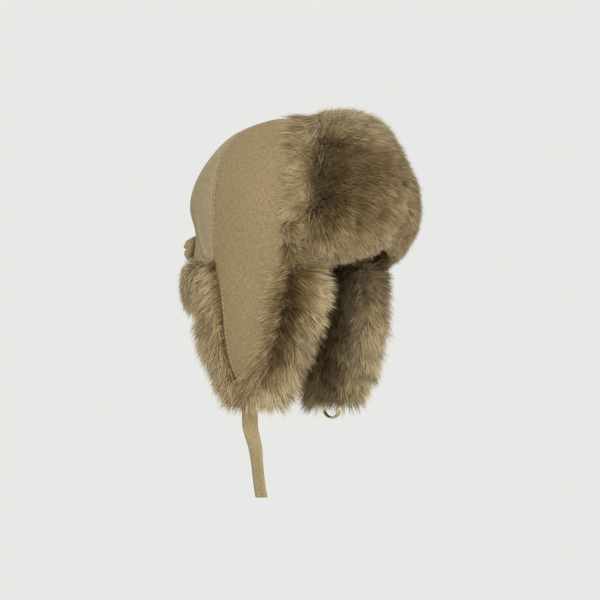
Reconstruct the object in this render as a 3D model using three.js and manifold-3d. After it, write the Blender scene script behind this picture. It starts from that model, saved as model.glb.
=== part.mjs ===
// A fur-trimmed trapper hat: linen crown and ear flaps, deep fur on the forehead flap, ears and nape.
// Millimetres, +Z up, the wearer's face towards -Y and their right side towards -X. The origin is
// the middle of the head opening, level with the crown's lower edge at the temples.
// An angle round the hat, theta, is 0 at the middle of the forehead, 90 at an ear and 180 at the nape.

import * as THREE from 'three';
import { mergeVertices } from 'three/addons/utils/BufferGeometryUtils.js';
import Module from 'manifold-3d';

const wasm = await Module();
wasm.setup();

// Driving dimensions
const CROWN = { halfWidth: 84, halfLength: 106, wallHeight: 50, domeHeight: 97 };
const CLOTH = 2;
const SEAM_Y = 48;
const SIDES = { right: -1, left: 1 };
const HUB = new THREE.Vector3(0, 0, CROWN.wallHeight);
const MM_PER_DEGREE = 1.8;

// Clearances: between two edges of cloth, and round cloth, strap and rings in the fur. Cutters run past
// the middle seam, out beyond the fur and in behind it.
const GAP = 0.3;
const FIT = 0.45;
const PAST_SEAM = -1;
const BEYOND_FUR = 45;
const BEHIND_FUR = -30;
const CUT_TOLERANCE = 0.12;

// Relief of the cloth on the plain crown form, in degrees and millimetres: drawn in and gathered at the
// back, narrower below the rim, ear flaps that flare towards their tips, soft creases on the sides
const RELIEF = {
  back: { from: 132, to: 168 },
  tuck: { depth: 10, height: 26, spread: 17 },
  gathers: { depth: 1.1, height: 22, spread: 24, count: 22 },
  narrowing: { depth: 2.5, from: -50, to: 0 },
  flare: { depth: 6, from: 5, to: 120 },
  crease: { depth: 0.7, perDegree: 5, perHeight: 1.6, from: -30, to: 40, theta: 95, spread: 40 },
};

// Lower edge of a side panel, front to back: the rim, the ear flap's parting line, its tip and its rear edge
const SIDE_EDGE = [
  { theta: 1, z: 20 },
  { theta: 9, z: 19.5 },
  { theta: 18, z: 18 },
  { theta: 27, z: 15 },
  { theta: 36, z: 11 },
  { theta: 45, z: 7 },
  { theta: 54, z: 3 },
  { theta: 61, z: 0 },
  { theta: 66, z: -4 },
  { theta: 69, z: -17 },
  { theta: 71, z: -37 },
  { theta: 73, z: -60 },
  { theta: 76, z: -80 },
  { theta: 80, z: -100 },
  { theta: 84, z: -115 },
  { theta: 88, z: -123.5 },
  { theta: 92, z: -124.5 },
  { theta: 95, z: -121 },
  { theta: 98, z: -113 },
  { theta: 102, z: -97 },
  { theta: 105.5, z: -75 },
  { theta: 108, z: -52 },
  { theta: 110, z: -33 },
  { theta: 113, z: -14 },
  { theta: 117, z: -1 },
];

// Lower edge of the back panel, which runs down inside the nape fur
const BACK_EDGE = [
  { theta: 117, z: -3 },
  { theta: 122, z: -14 },
  { theta: 130, z: -30 },
  { theta: 142, z: -37 },
  { theta: 180, z: -39 },
];

// Grids of the panels. The back panel's rows are shares of a column, closest together where it is drawn in.
const SIDE_GRID = { domeRows: 6, wallRows: 6 };
const BACK_GRID = { columns: 28, rows: [0, 0.12, 0.22, 0.3, 0.37, 0.44, 0.54, 0.76, 1] };

// Outline of the forehead fur on the crown, by angle round its middle, 0 upwards and 180 downwards
const FOREHEAD_OUTLINE = [
  { turn: 0, reach: 57 },
  { turn: 24, reach: 57 },
  { turn: 45, reach: 61 },
  { turn: 68, reach: 66 },
  { turn: 90, reach: 70 },
  { turn: 99, reach: 67 },
  { turn: 107, reach: 63 },
  { turn: 116, reach: 64 },
  { turn: 128.5, reach: 72 },
  { turn: 136, reach: 60.5 },
  { turn: 142, reach: 54 },
  { turn: 155, reach: 45 },
  { turn: 167, reach: 37 },
  { turn: 180, reach: 33.5 },
];
const FOREHEAD = { tilt: 16, depth: 37, edge: 3, fullness: 2.3, roundness: 0.75, backing: -6 };
const FOREHEAD_GRID = { turns: 28, shares: [0.2, 0.45, 0.68, 0.86, 1], behind: [1, 0.5] };

// Rings of locks on the forehead, at shares of its reach: length as a share of it, and how far tips stand up
const FOREHEAD_LOCKS = [
  { share: 0.42, count: 7, length: 0.3, width: 26, height: 10, over: 2 },
  { share: 0.7, count: 11, length: 0.28, width: 24, height: 9, over: 2 },
  { share: 1, count: 20, length: 0.144, width: 19, height: 8, over: 2.5 },
];
const FOREHEAD_LOCK = { rootShare: 0.72, rootDepth: 0.8, shortest: 0.55, stray: 0.35, turnStray: 5 };

// Ear flap fur at each height: its front and rear edge, how far it stands out and how deep its lining is
const FLAP_FUR = [
  { z: -1.2, front: 54, rear: 121, outer: 3, inner: 9 },
  { z: -8, front: 44, rear: 126, outer: 11, inner: 20 },
  { z: -25, front: 41, rear: 127.4, outer: 13, inner: 25 },
  { z: -47, front: 43, rear: 127.4, outer: 14, inner: 26 },
  { z: -60, front: 45.5, rear: 130, outer: 14, inner: 26 },
  { z: -80, front: 50, rear: 125.5, outer: 14, inner: 26 },
  { z: -96, front: 53.5, rear: 119, outer: 14, inner: 26 },
  { z: -112, front: 57, rear: 112, outer: 14, inner: 25 },
  { z: -128, front: 61, rear: 106, outer: 13, inner: 22 },
  { z: -141, front: 67, rear: 101, outer: 10, inner: 17 },
  { z: -150, front: 75, rear: 94, outer: 5, inner: 9 },
];

// Where that fur lies thin over the cloth, from the parting line to the rear edge, and how it is rounded
const FLAP_CLOTH = { front: 64, parting: 74, rearEdge: 108, rear: 116, thinner: 0.75 };
const FLAP_ROUND = { corners: 18, along: 0.85, across: 0.6, edgeLift: 3 };
const FLAP_FRONT_X = 42;

// Rows of locks down an ear flap. Angles count from the fur's front or rear edge, or from the forehead
// where there is none, and heights from the row's own. A row starts below a height. Facing is 1 on the
// outer face and -1 on the lining, and a tip strays by up to an angle.
const FLAP_LOCK_HEIGHTS = { first: -18, last: -130, steps: 6 };
const FLAP_LOCKS = [
  {
    edge: 'front',
    below: 0,
    root: { theta: 9, z: 5, offset: 4 },
    tip: { theta: -3, z: -12, offset: 7, stray: -1.8 },
    width: 15,
    height: 10,
    facing: 1,
  },
  {
    edge: 'front',
    below: 0,
    root: { theta: 14, z: 4, offset: -8 },
    tip: { theta: 1, z: -15, offset: -3, stray: 0 },
    width: 15,
    height: 10,
    facing: -1,
  },
  {
    edge: 'none',
    below: -30,
    root: { theta: 68, z: 8, offset: 5 },
    tip: { theta: 59, z: -12, offset: 13, stray: -4 },
    width: 16,
    height: 8,
    facing: 1,
  },
  {
    edge: 'rear',
    below: -62,
    root: { theta: -9, z: 7, offset: 0 },
    tip: { theta: 2.5, z: -13, offset: 7, stray: 1.5 },
    width: 15,
    height: 11,
    facing: 1,
  },
];

// Locks that hang from the ear flap's tip and fan out from its middle, and locks on its lining
const TIP_LOCKS = { first: 72, last: 98, steps: 3, middle: 84, fan: 0.12, from: -132, to: -154, stray: 3.5 };
const TIP_LOCK_SIZE = { rootOffset: -2, tipOffset: 0, width: 15, height: 12 };
const LINING_LOCKS = [
  { theta: 66, toTheta: 57 },
  { theta: 90, toTheta: 84 },
];
const LINING_LOCK_HEIGHTS = { first: -30, last: -105, steps: 2 };
const LINING_LOCK = { above: 8, below: 14, rootOffset: 4, tipOffset: -1, width: 17, height: 7 };

// Nape fur round the back: how far it stands out and how low its roll hangs
const NAPE_FUR = [
  { theta: 128.2, outer: 5.5, low: -46 },
  { theta: 136, outer: 7, low: -47 },
  { theta: 148, outer: 8.5, low: -48 },
  { theta: 164, outer: 9, low: -48 },
  { theta: 180, outer: 9, low: -48 },
];
const NAPE = { front: 128.2, columns: 6, corners: 12, top: 0.6, inner: 11, along: 0.8, across: 0.7 };

// Two rows of nape locks: heights of root and tip, the tip's stray, and its offset as a share and a rest
const NAPE_LOCKS = [
  { root: -4, tip: -33, stray: 5, share: 1, rest: 2, width: 17, height: 7 },
  { root: -28, tip: -51, stray: 4, share: 0.7, rest: 0, width: 15, height: 8 },
];
const NAPE_LOCK = { facingHeight: -20, rootShare: 0.4 };

// A lock's section along its length, with the shares of its height below and above its middle line
const LOCK_SECTIONS = [
  { at: 0, size: 0.7 },
  { at: 0.45, size: 1 },
  { at: 0.8, size: 0.55 },
];
const LOCK = { belly: 0.6, under: 0.4, ridge: 0.6 };

// Strap at each height: the middle of its width, its width and how far it is turned about the vertical
const STRAP = [
  { z: -116, x: -83.6, y: -3, width: 16.5, turn: 0 },
  { z: -126, x: -83.8, y: -3.1, width: 16.5, turn: -3 },
  { z: -136, x: -84, y: -3.3, width: 16.5, turn: -16 },
  { z: -150, x: -84, y: -3.8, width: 16.5, turn: -28 },
  { z: -168, x: -84.5, y: -4.2, width: 16, turn: -30 },
  { z: -178, x: -85, y: -7, width: 15.6, turn: -20 },
  { z: -190, x: -85, y: -10.5, width: 15.2, turn: -4 },
  { z: -206, x: -85, y: -12.8, width: 14.6, turn: 8 },
  { z: -224, x: -84, y: -14.4, width: 14.3, turn: 8 },
  { z: -241, x: -83, y: -16.8, width: 14, turn: 4 },
];
const STRAP_THICKNESS = 1.8;

// Strap rings and the folded tab that they hang in, at the tip of the left ear flap
const RING = { outerRadius: 10.5, wireRadius: 1.15, x: 80.6, y: -6, z: -151.6, apart: 3.2 };
const TAB = { top: -119, width: 9, thickness: 1.2, clearance: 0.35 };

// Slots for the rings and the tab in the fur: how far each reaches to a side, along Y and above the rings
const RING_SLOT = { halfX: 4, halfY: 11.2, above: 11.2, bottom: -170 };
const TAB_SLOT = { halfX: 4.5, halfY: 5.2 };

// Folded tie at the centre back: two loops and a knot
const TIE = { middle: 14.5, knot: 7.5, loop: 12.6, reach: 34, depth: 16, taper: 0.4, mmPerDegree: 1.5 };
const TIE_LOOP = { corners: 12, start: 0.56, swing: 0.44, opensFrom: 2, openBy: 0.8, narrowest: 0.35 };
const TIE_KNOT = { degrees: 5.5, depthShare: 0.46, heightShare: 1.25 };

const COLOURS = { linen: 0x9e8a67, fur: 0x7d6b4d, metal: 0xb9a978 };

const { sin, cos, abs, sign, PI, hypot } = Math;
const radians = THREE.MathUtils.degToRad;
const degrees = THREE.MathUtils.radToDeg;
const smoothstep = THREE.MathUtils.smoothstep;
const vec = (x, y, z) => new THREE.Vector3(x, y, z);
const bump = (value, centre, spread) => Math.exp(-(((value - centre) / spread) ** 2));
const span = (first, last, steps) =>
  Array.from({ length: steps + 1 }, (_, i) => first + ((last - first) * i) / steps);

// Value of one column of a table at a place between its rows
function lookUp(table, key, place, column) {
  const next = table.findIndex((row) => row[key] >= place);
  if (next < 0) return table[table.length - 1][column];
  if (next === 0) return table[0][column];
  const [a, b] = [table[next - 1], table[next]];
  return a[column] + ((b[column] - a[column]) * (place - a[key])) / (b[key] - a[key]);
}

// How far the cloth stands off the plain crown form
function clothRelief(theta, z) {
  const { back, tuck, gathers, narrowing, flare, crease } = RELIEF;
  const atBack = smoothstep(theta, back.from, back.to);
  const drawnIn = -tuck.depth * atBack * bump(z, tuck.height, tuck.spread);
  const pleats = cos(radians(theta * gathers.count)) * bump(z, gathers.height, gathers.spread);
  const narrower = -narrowing.depth * smoothstep(-z, narrowing.from, narrowing.to);
  const flared = flare.depth * smoothstep(-z, flare.from, flare.to);
  const wave = sin(radians(theta * crease.perDegree + z * crease.perHeight));
  const onSide = smoothstep(z, crease.from, crease.to) * bump(theta, crease.theta, crease.spread);
  return drawnIn + gathers.depth * atBack * pleats + narrower + flared + crease.depth * wave * onSide;
}

// The point of the cloth's outer face nearest a rough one, moved outwards by an offset
function onCrown(point, offset = 0) {
  const q = point.clone().sub(HUB);
  const rise = Math.max(q.z, 0);
  const level = hypot(q.x / CROWN.halfWidth, q.y / CROWN.halfLength, rise / CROWN.domeHeight);
  q.set(q.x / level, q.y / level, q.z > 0 ? q.z / level : q.z);
  const normal = vec(
    q.x / CROWN.halfWidth ** 2,
    q.y / CROWN.halfLength ** 2,
    Math.max(q.z, 0) / CROWN.domeHeight ** 2,
  ).normalize();
  const theta = degrees(Math.atan2(abs(q.x) / CROWN.halfWidth, -q.y / CROWN.halfLength));
  const relief = clothRelief(theta, q.z + HUB.z);
  return q.add(HUB).addScaledVector(normal, relief + offset);
}

// A point by its angle round the hat and its height, on one side
function beside(side, theta, z, offset = 0) {
  const [x, y] = [CROWN.halfWidth * sin(radians(theta)), -CROWN.halfLength * cos(radians(theta))];
  return onCrown(vec(side * x, y, z), offset);
}

// A closed geometry from points and faces, turned so that its faces point out
function closedGeometry(points, faces) {
  let volume = 0;
  for (const [a, b, c] of faces) volume += points[a].dot(points[b].clone().cross(points[c]));
  const index = faces.flatMap(([a, b, c]) => (volume < 0 ? [a, c, b] : [a, b, c]));
  const coordinates = points.flatMap((p) => [p.x, p.y, p.z]);
  const geometry = new THREE.BufferGeometry();
  geometry.setAttribute('position', new THREE.Float32BufferAttribute(coordinates, 3));
  geometry.setIndex(index);
  return geometry;
}

// Two grids of points, an outer and an inner face, closed along their four edges
function shell(outer, inner) {
  const rows = outer.length;
  const columns = outer[0].length;
  const at = (layer, i, j) => (layer * rows + i) * columns + j;
  const faces = [];
  const quad = (a, b, c, d) => faces.push([a, b, c], [a, c, d]);
  for (let i = 0; i + 1 < rows; i += 1) {
    for (let j = 0; j + 1 < columns; j += 1) {
      quad(at(0, i, j), at(0, i, j + 1), at(0, i + 1, j + 1), at(0, i + 1, j));
      quad(at(1, i, j), at(1, i + 1, j), at(1, i + 1, j + 1), at(1, i, j + 1));
    }
    quad(at(0, i, 0), at(0, i + 1, 0), at(1, i + 1, 0), at(1, i, 0));
    quad(at(0, i + 1, columns - 1), at(0, i, columns - 1), at(1, i, columns - 1), at(1, i + 1, columns - 1));
  }
  for (let j = 0; j + 1 < columns; j += 1) {
    quad(at(0, 0, j + 1), at(0, 0, j), at(1, 0, j), at(1, 0, j + 1));
    quad(at(0, rows - 1, j), at(0, rows - 1, j + 1), at(1, rows - 1, j + 1), at(1, rows - 1, j));
  }
  return closedGeometry([...outer.flat(), ...inner.flat()], faces);
}

// A closed skin through rings of points, with a flat or pointed fan at each end
function loft(rings, closedPath = false) {
  const size = rings[0].length;
  const points = rings.flat();
  const faces = [];
  const last = closedPath ? rings.length : rings.length - 1;
  for (let i = 0; i < last; i += 1) {
    const next = (i + 1) % rings.length;
    for (let j = 0; j < size; j += 1) {
      const k = (j + 1) % size;
      const [a, b, c, d] = [i * size + j, i * size + k, next * size + k, next * size + j];
      faces.push([a, b, c], [a, c, d]);
    }
  }
  if (!closedPath) {
    for (const [ring, turned] of [[0, true], [rings.length - 1, false]]) {
      const middle = rings[ring].reduce((sum, p) => sum.add(p), vec(0, 0, 0)).divideScalar(size);
      const hub = points.push(middle) - 1;
      for (let j = 0; j < size; j += 1) {
        const [a, b] = [ring * size + j, ring * size + ((j + 1) % size)];
        faces.push(turned ? [a, hub, b] : [a, b, hub]);
      }
    }
  }
  return closedGeometry(points, faces);
}

function toSolid(geometry) {
  const plain = geometry.clone();
  plain.deleteAttribute('normal');
  plain.deleteAttribute('uv');
  const merged = mergeVertices(plain);
  return new wasm.Manifold(new wasm.Mesh({
    numProp: 3,
    vertProperties: merged.attributes.position.array,
    triVerts: new Uint32Array(merged.index.array),
  }));
}

// Edges shorter than the tolerance, which joins and cuts leave behind, are collapsed
function fromSolid(solid) {
  const { vertProperties, triVerts } = solid.asOriginal().setTolerance(CUT_TOLERANCE).getMesh();
  const geometry = new THREE.BufferGeometry();
  geometry.setAttribute('position', new THREE.BufferAttribute(new Float32Array(vertProperties), 3));
  geometry.setIndex(new THREE.BufferAttribute(new Uint32Array(triVerts), 1));
  return geometry;
}

const block = (low, high) => {
  const size = vec(...high).sub(vec(...low));
  const middle = vec(...low).addScaledVector(size, 0.5);
  return toSolid(new THREE.BoxGeometry(size.x, size.y, size.z).translate(middle.x, middle.y, middle.z));
};

// Side panel: half crown and ear flap. Each column of the grid is the cut through one row of the edge
// table, from the seam on top of the crown, down the dome and the wall, to the lower edge.
function sidePanel(side, edge, outside, inside, seam) {
  const domeRows = span(90, 0, SIDE_GRID.domeRows);
  const wallRows = span(0, 1, SIDE_GRID.wallRows).slice(1);
  const face = (offset) => [...domeRows, ...wallRows].map((row, i) => edge.map(({ theta, z }, j) => {
    const width = sin(radians(theta));
    const rise = i < domeRows.length ? radians(row) : 0;
    const x = i === 0 || j === 0 ? seam : Math.max(seam, CROWN.halfWidth * width * cos(rise));
    const height = i < domeRows.length
      ? CROWN.wallHeight + CROWN.domeHeight * width * sin(rise)
      : CROWN.wallHeight + (z - CROWN.wallHeight) * row;
    return onCrown(vec(side * x, -CROWN.halfLength * cos(radians(theta)), height), offset);
  }));
  return shell(face(outside), face(inside));
}

// An edge table moved outwards by a clearance, in the developed plane of angle and height
function widened(edge, clearance) {
  return edge.map(({ theta, z }, i) => {
    const before = edge[Math.max(i - 1, 0)];
    const after = edge[Math.min(i + 1, edge.length - 1)];
    const run = (after.theta - before.theta) * MM_PER_DEGREE;
    const along = new THREE.Vector2(run, after.z - before.z).normalize();
    return { theta: theta + (along.y * clearance) / MM_PER_DEGREE, z: z - along.x * clearance };
  });
}

// The side panel's edge table, its last row moved to the seam with the back panel
const seamTheta = degrees(Math.acos(-(SEAM_Y - GAP / 2) / CROWN.halfLength));
const panelEdge = [...SIDE_EDGE.slice(0, -1), { ...SIDE_EDGE.at(-1), theta: seamTheta }];

// Back panel: columns fan from its lower edge to the arch of the seam that it shares with the side panels
function backPanel(edge, outside, inside, seamY) {
  const arch = Math.sqrt(1 - (seamY / CROWN.halfLength) ** 2);
  const corner = degrees(Math.acos(-seamY / CROWN.halfLength));
  const columns = span(-1, 1, BACK_GRID.columns);
  const face = (offset) => BACK_GRID.rows.map((row) => columns.map((u) => {
    const side = sign(u) || 1;
    const theta = 180 - abs(u) * (180 - corner);
    const low = vec(
      side * CROWN.halfWidth * sin(radians(theta)),
      -CROWN.halfLength * cos(radians(theta)),
      lookUp(edge, 'theta', theta, 'z'),
    );
    const rise = radians(90 * (1 - abs(u)));
    const high = vec(
      side * CROWN.halfWidth * arch * cos(rise),
      seamY,
      CROWN.wallHeight + CROWN.domeHeight * arch * sin(rise),
    );
    return onCrown(low.lerp(high, row), offset);
  }));
  return shell(face(outside), face(inside));
}

// One lock of fur: a ridge of three-cornered section that tapers to a point
function lock(root, tip, outwards, { width, height }) {
  const middle = root.clone().lerp(tip, 0.5).addScaledVector(outwards, height * LOCK.belly);
  const path = new THREE.QuadraticBezierCurve3(root, middle, tip);
  const across = tip.clone().sub(root).cross(outwards).normalize();
  const rings = LOCK_SECTIONS.map(({ at, size }) => {
    const centre = path.getPoint(at);
    const under = centre.clone().addScaledVector(outwards, -height * size * LOCK.under);
    return [
      under.clone().addScaledVector(across, (width * size) / 2),
      centre.clone().addScaledVector(outwards, height * size * LOCK.ridge),
      under.clone().addScaledVector(across, (-width * size) / 2),
    ];
  });
  const points = [...rings.flat(), tip.clone()];
  const at = (ring, corner) => ring * 3 + (corner % 3);
  const last = rings.length - 1;
  const faces = [[0, 1, 2]];
  for (let i = 0; i < last; i += 1) {
    for (let j = 0; j < 3; j += 1) {
      faces.push([at(i, j), at(i + 1, j + 1), at(i, j + 1)], [at(i, j), at(i + 1, j), at(i + 1, j + 1)]);
    }
  }
  for (let j = 0; j < 3; j += 1) faces.push([at(last, j), points.length - 1, at(last, j + 1)]);
  return toSolid(closedGeometry(points, faces));
}

const joined = (body, locks) => locks.reduce((fur, one) => fur.add(one), body);

// A steady spread of values between 0 and 1, so that no two locks are alike
const vary = (i) => (i * 0.618034) % 1;

// The forehead fur's own chart: a turn round its middle and a reach away from it
function foreheadPoint(turn, reach, offset) {
  const tilt = radians(FOREHEAD.tilt);
  const [side, up] = [sin(radians(turn)), cos(radians(turn))];
  const [near, far] = [cos(radians(reach)), sin(radians(reach))];
  const direction = vec(
    side * far,
    -near * cos(tilt) + up * far * sin(tilt),
    near * sin(tilt) + up * far * cos(tilt),
  );
  return onCrown(direction.multiplyScalar(CROWN.domeHeight).add(HUB), offset);
}

function foreheadDepth(share) {
  const left = Math.max(0, 1 - share ** FOREHEAD.fullness);
  return FOREHEAD.edge + (FOREHEAD.depth - FOREHEAD.edge) * left ** FOREHEAD.roundness;
}

function foreheadFur() {
  const turns = span(0, 360, FOREHEAD_GRID.turns).slice(1);
  const limit = (turn) => lookUp(FOREHEAD_OUTLINE, 'turn', turn > 180 ? 360 - turn : turn, 'reach');
  const ring = (share, offset) => turns.map((turn) => foreheadPoint(turn, share * limit(turn), offset));
  const body = toSolid(loft([
    ...FOREHEAD_GRID.shares.map((share) => ring(share, foreheadDepth(share))),
    ...FOREHEAD_GRID.behind.map((share) => ring(share, FOREHEAD.backing)),
  ]));
  const { rootShare, rootDepth, shortest, stray, turnStray } = FOREHEAD_LOCK;
  const numbers = (count) => span(0, count - 1, count - 1);
  return joined(body, FOREHEAD_LOCKS.flatMap((row, r) => numbers(row.count).map((i) => {
    const turn = (((i + 0.5 * r) * 360) / row.count + turnStray * vary(i + r)) % 360;
    const reach = row.share * limit(turn);
    const tipReach = reach + row.length * limit(turn) * (shortest + stray * vary(i * 3 + r));
    const under = row.share < 1 ? foreheadDepth(Math.min(1, tipReach / limit(turn))) : 0;
    const root = foreheadPoint(turn, reach * rootShare, foreheadDepth(row.share * rootShare) * rootDepth);
    const tip = foreheadPoint(turn, tipReach, under + row.over);
    const outwards = foreheadPoint(turn, reach, 1).sub(foreheadPoint(turn, reach, 0)).normalize();
    return lock(root, tip, outwards, row);
  })));
}

// A rounded ring of points across one level of an ear flap: front edge, outer face, rear edge, lining
function flapRing(side, row) {
  const middle = (row.front + row.rear) / 2;
  const half = (row.rear - row.front) / 2;
  const { front, parting, rearEdge, rear, thinner } = FLAP_CLOTH;
  return span(0, 360, FLAP_ROUND.corners).slice(1).map((angle) => {
    const [c, s] = [cos(radians(angle)), sin(radians(angle))];
    const theta = middle - half * sign(c) * abs(c) ** FLAP_ROUND.along;
    const onCloth = smoothstep(theta, front, parting) * (1 - smoothstep(theta, rearEdge, rear));
    const outer = row.outer * (1 - thinner * onCloth);
    const depth = (s > 0 ? outer : -row.inner) * abs(s) ** FLAP_ROUND.across;
    return beside(side, theta, row.z, depth + FLAP_ROUND.edgeLift * abs(c) ** 3);
  });
}

// A lock beside the head, from a root to a tip that are each given by angle, height and offset
function sideLock(side, root, tip, size, facing = 1) {
  const outwards = beside(side, root.theta, root.z, facing).sub(beside(side, root.theta, root.z)).normalize();
  const from = beside(side, root.theta, root.z, root.offset);
  return lock(from, beside(side, tip.theta, tip.z, tip.offset), outwards, size);
}

function flapFur(side) {
  const body = toSolid(loft(FLAP_FUR.map((row) => flapRing(side, row))));
  const upwards = FLAP_FUR.toReversed();
  const at = (z, column) => lookUp(upwards, 'z', z, column);
  const heights = ({ first, last, steps }) => span(first, last, steps);
  const edgeLocks = heights(FLAP_LOCK_HEIGHTS).flatMap((z, i) => FLAP_LOCKS
    .filter((row) => z < row.below)
    .map((row) => {
      const edge = row.edge === 'none' ? 0 : at(z, row.edge);
      const root = { theta: edge + row.root.theta, z: z + row.root.z, offset: row.root.offset };
      const toTheta = edge + row.tip.theta + row.tip.stray * vary(i);
      const tip = { theta: toTheta, z: z + row.tip.z, offset: row.tip.offset };
      return sideLock(side, root, tip, row, row.facing);
    }));
  const tipLocks = heights(TIP_LOCKS).map((theta, i) => {
    const root = { theta, z: TIP_LOCKS.from, offset: TIP_LOCK_SIZE.rootOffset };
    const toTheta = theta + (theta - TIP_LOCKS.middle) * TIP_LOCKS.fan;
    const toZ = TIP_LOCKS.to - TIP_LOCKS.stray * vary(i);
    return sideLock(side, root, { theta: toTheta, z: toZ, offset: TIP_LOCK_SIZE.tipOffset }, TIP_LOCK_SIZE);
  });
  const liningLocks = heights(LINING_LOCK_HEIGHTS).flatMap((z) => LINING_LOCKS.map(({ theta, toTheta }) => {
    const inner = at(z, 'inner');
    const root = { theta, z: z + LINING_LOCK.above, offset: LINING_LOCK.rootOffset - inner };
    const tip = { theta: toTheta, z: z - LINING_LOCK.below, offset: LINING_LOCK.tipOffset - inner };
    return sideLock(side, root, tip, LINING_LOCK, -1);
  }));
  return joined(body, [...edgeLocks, ...tipLocks, ...liningLocks]);
}

function napeFur() {
  const angles = span(NAPE.front, 180, NAPE.columns);
  const right = angles.map((theta) => ({ side: SIDES.right, theta }));
  const left = angles.slice(0, -1).toReversed().map((theta) => ({ side: SIDES.left, theta }));
  const columns = [...right, ...left];
  const outerAt = (theta) => lookUp(NAPE_FUR, 'theta', theta, 'outer');
  const rings = columns.map(({ side, theta }) => {
    const low = lookUp(NAPE_FUR, 'theta', theta, 'low');
    return span(0, 360, NAPE.corners).slice(1).map((angle) => {
      const [c, s] = [cos(radians(angle)), sin(radians(angle))];
      const z = (NAPE.top + low) / 2 + ((NAPE.top - low) / 2) * sign(s) * abs(s) ** NAPE.along;
      return beside(side, theta, z, (c > 0 ? outerAt(theta) : -NAPE.inner) * abs(c) ** NAPE.across);
    });
  });
  return joined(toSolid(loft(rings)), columns.slice(1, -1).flatMap(({ side, theta }, i) => {
    const outer = outerAt(theta);
    const outside = beside(side, theta, NAPE_LOCK.facingHeight, 1);
    const outwards = outside.sub(beside(side, theta, NAPE_LOCK.facingHeight)).normalize();
    return NAPE_LOCKS.map((row, r) => {
      const root = beside(side, theta, row.root, outer * NAPE_LOCK.rootShare);
      const tip = beside(side, theta, row.tip - row.stray * vary(i + r), outer * row.share + row.rest);
      return lock(root, tip, outwards, row);
    });
  }));
}

// One loop of the tie: a flat band that leaves the knot, turns back on itself and returns to it
function tieLoop(side) {
  const { start, swing, opensFrom, openBy, narrowest } = TIE_LOOP;
  const rings = span(0, 360, TIE_LOOP.corners).slice(1).map((angle) => {
    const [c, s] = [cos(radians(angle)), sin(radians(angle))];
    const along = TIE.reach * (start - swing * c);
    const wide = smoothstep(along, opensFrom, TIE.reach * openBy);
    const high = TIE.knot + (TIE.loop - TIE.knot) * wide;
    const out = TIE.depth * (0.5 + 0.5 * s * (narrowest + (1 - narrowest) * wide));
    const narrowed = high * (1 - TIE.taper * (out / TIE.depth) ** 2);
    const corner = (up, inset) => {
      const theta = 180 - (along + inset * c) / TIE.mmPerDegree;
      return beside(side, theta, TIE.middle + up * narrowed, out - inset * s);
    };
    return [corner(1, 0), corner(-1, 0), corner(-1, CLOTH), corner(1, CLOTH)];
  });
  return toSolid(loft(rings, true));
}

function backTie() {
  const knot = new THREE.SphereGeometry(1, 8, 6);
  const position = knot.attributes.position;
  for (let i = 0; i < position.count; i += 1) {
    const [x, y, z] = [position.getX(i), position.getY(i), position.getZ(i)];
    const offset = TIE.depth * (0.5 + TIE_KNOT.depthShare * y);
    const height = TIE.middle + z * TIE.knot * TIE_KNOT.heightShare;
    const placed = beside(x < 0 ? -1 : 1, 180 - abs(x) * TIE_KNOT.degrees, height, offset);
    position.setXYZ(i, placed.x, placed.y, placed.z);
  }
  return toSolid(knot).add(tieLoop(SIDES.right)).add(tieLoop(SIDES.left));
}

// Flat band through the rows of the strap table, made thicker and wider by a clearance for its slot
function strapBand(clearance = 0) {
  return loft(STRAP.map(({ x, y, z, width, turn }) => {
    const wide = width / 2 + clearance;
    const thick = STRAP_THICKNESS / 2 + clearance;
    const [c, s] = [cos(radians(turn)), sin(radians(turn))];
    const centre = vec(x, y, z + (z === STRAP[0].z ? clearance : 0));
    return [[wide, thick], [-wide, thick], [-wide, -thick], [wide, -thick]].map(([w, t]) =>
      centre.clone().add(vec(w * s + t * c, w * c - t * s, 0)));
  }));
}

function strapRing() {
  const wire = new THREE.TorusGeometry(RING.outerRadius - RING.wireRadius, RING.wireRadius, 6, 18);
  return wire.rotateY(PI / 2);
}

// Folded tab: a narrow U of cloth, its bend under the top of both rings
function ringTab() {
  const half = RING.apart / 2 + RING.wireRadius + TAB.clearance;
  const innerRadius = RING.outerRadius - 2 * RING.wireRadius;
  const bend = RING.z + Math.sqrt(innerRadius ** 2 - (TAB.width / 2) ** 2) - TAB.clearance;
  const outer = half + TAB.thickness;
  const outline = new THREE.Shape([
    new THREE.Vector2(-outer, TAB.top),
    new THREE.Vector2(-outer, bend),
    new THREE.Vector2(-outer + TAB.thickness, bend - TAB.thickness),
    new THREE.Vector2(outer - TAB.thickness, bend - TAB.thickness),
    new THREE.Vector2(outer, bend),
    new THREE.Vector2(outer, TAB.top),
    new THREE.Vector2(half, TAB.top),
    new THREE.Vector2(half, bend),
    new THREE.Vector2(-half, bend),
    new THREE.Vector2(-half, TAB.top),
  ]);
  const tab = new THREE.ExtrudeGeometry(outline, { depth: TAB.width, bevelEnabled: false });
  return tab.rotateX(PI / 2).translate(RING.x, RING.y + TAB.width / 2, 0);
}

// Cutters that keep each fur body clear of the cloth, strap and rings that it lies against
const cutterEdge = widened(panelEdge, FIT);
const flapCutter = (side) => toSolid(sidePanel(side, cutterEdge, BEYOND_FUR, -CLOTH - FIT, PAST_SEAM));
const crownCutter = (side) => toSolid(sidePanel(side, cutterEdge, FIT, BEHIND_FUR, PAST_SEAM));
const backCutter = toSolid(backPanel(widened(BACK_EDGE, FIT), FIT, -CLOTH - FIT, SEAM_Y - FIT));

// A box round the rings or the tab, between two heights
const slot = ({ halfX, halfY }, bottom, top) =>
  block([RING.x - halfX, RING.y - halfY, bottom], [RING.x + halfX, RING.y + halfY, top]);

// The room that the top of an ear flap's fur takes beside the forehead fur
const flapTop = FLAP_FUR[0].z + FIT;
const flapRoom = { x: 120, y: -150, z: -60 };

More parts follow.
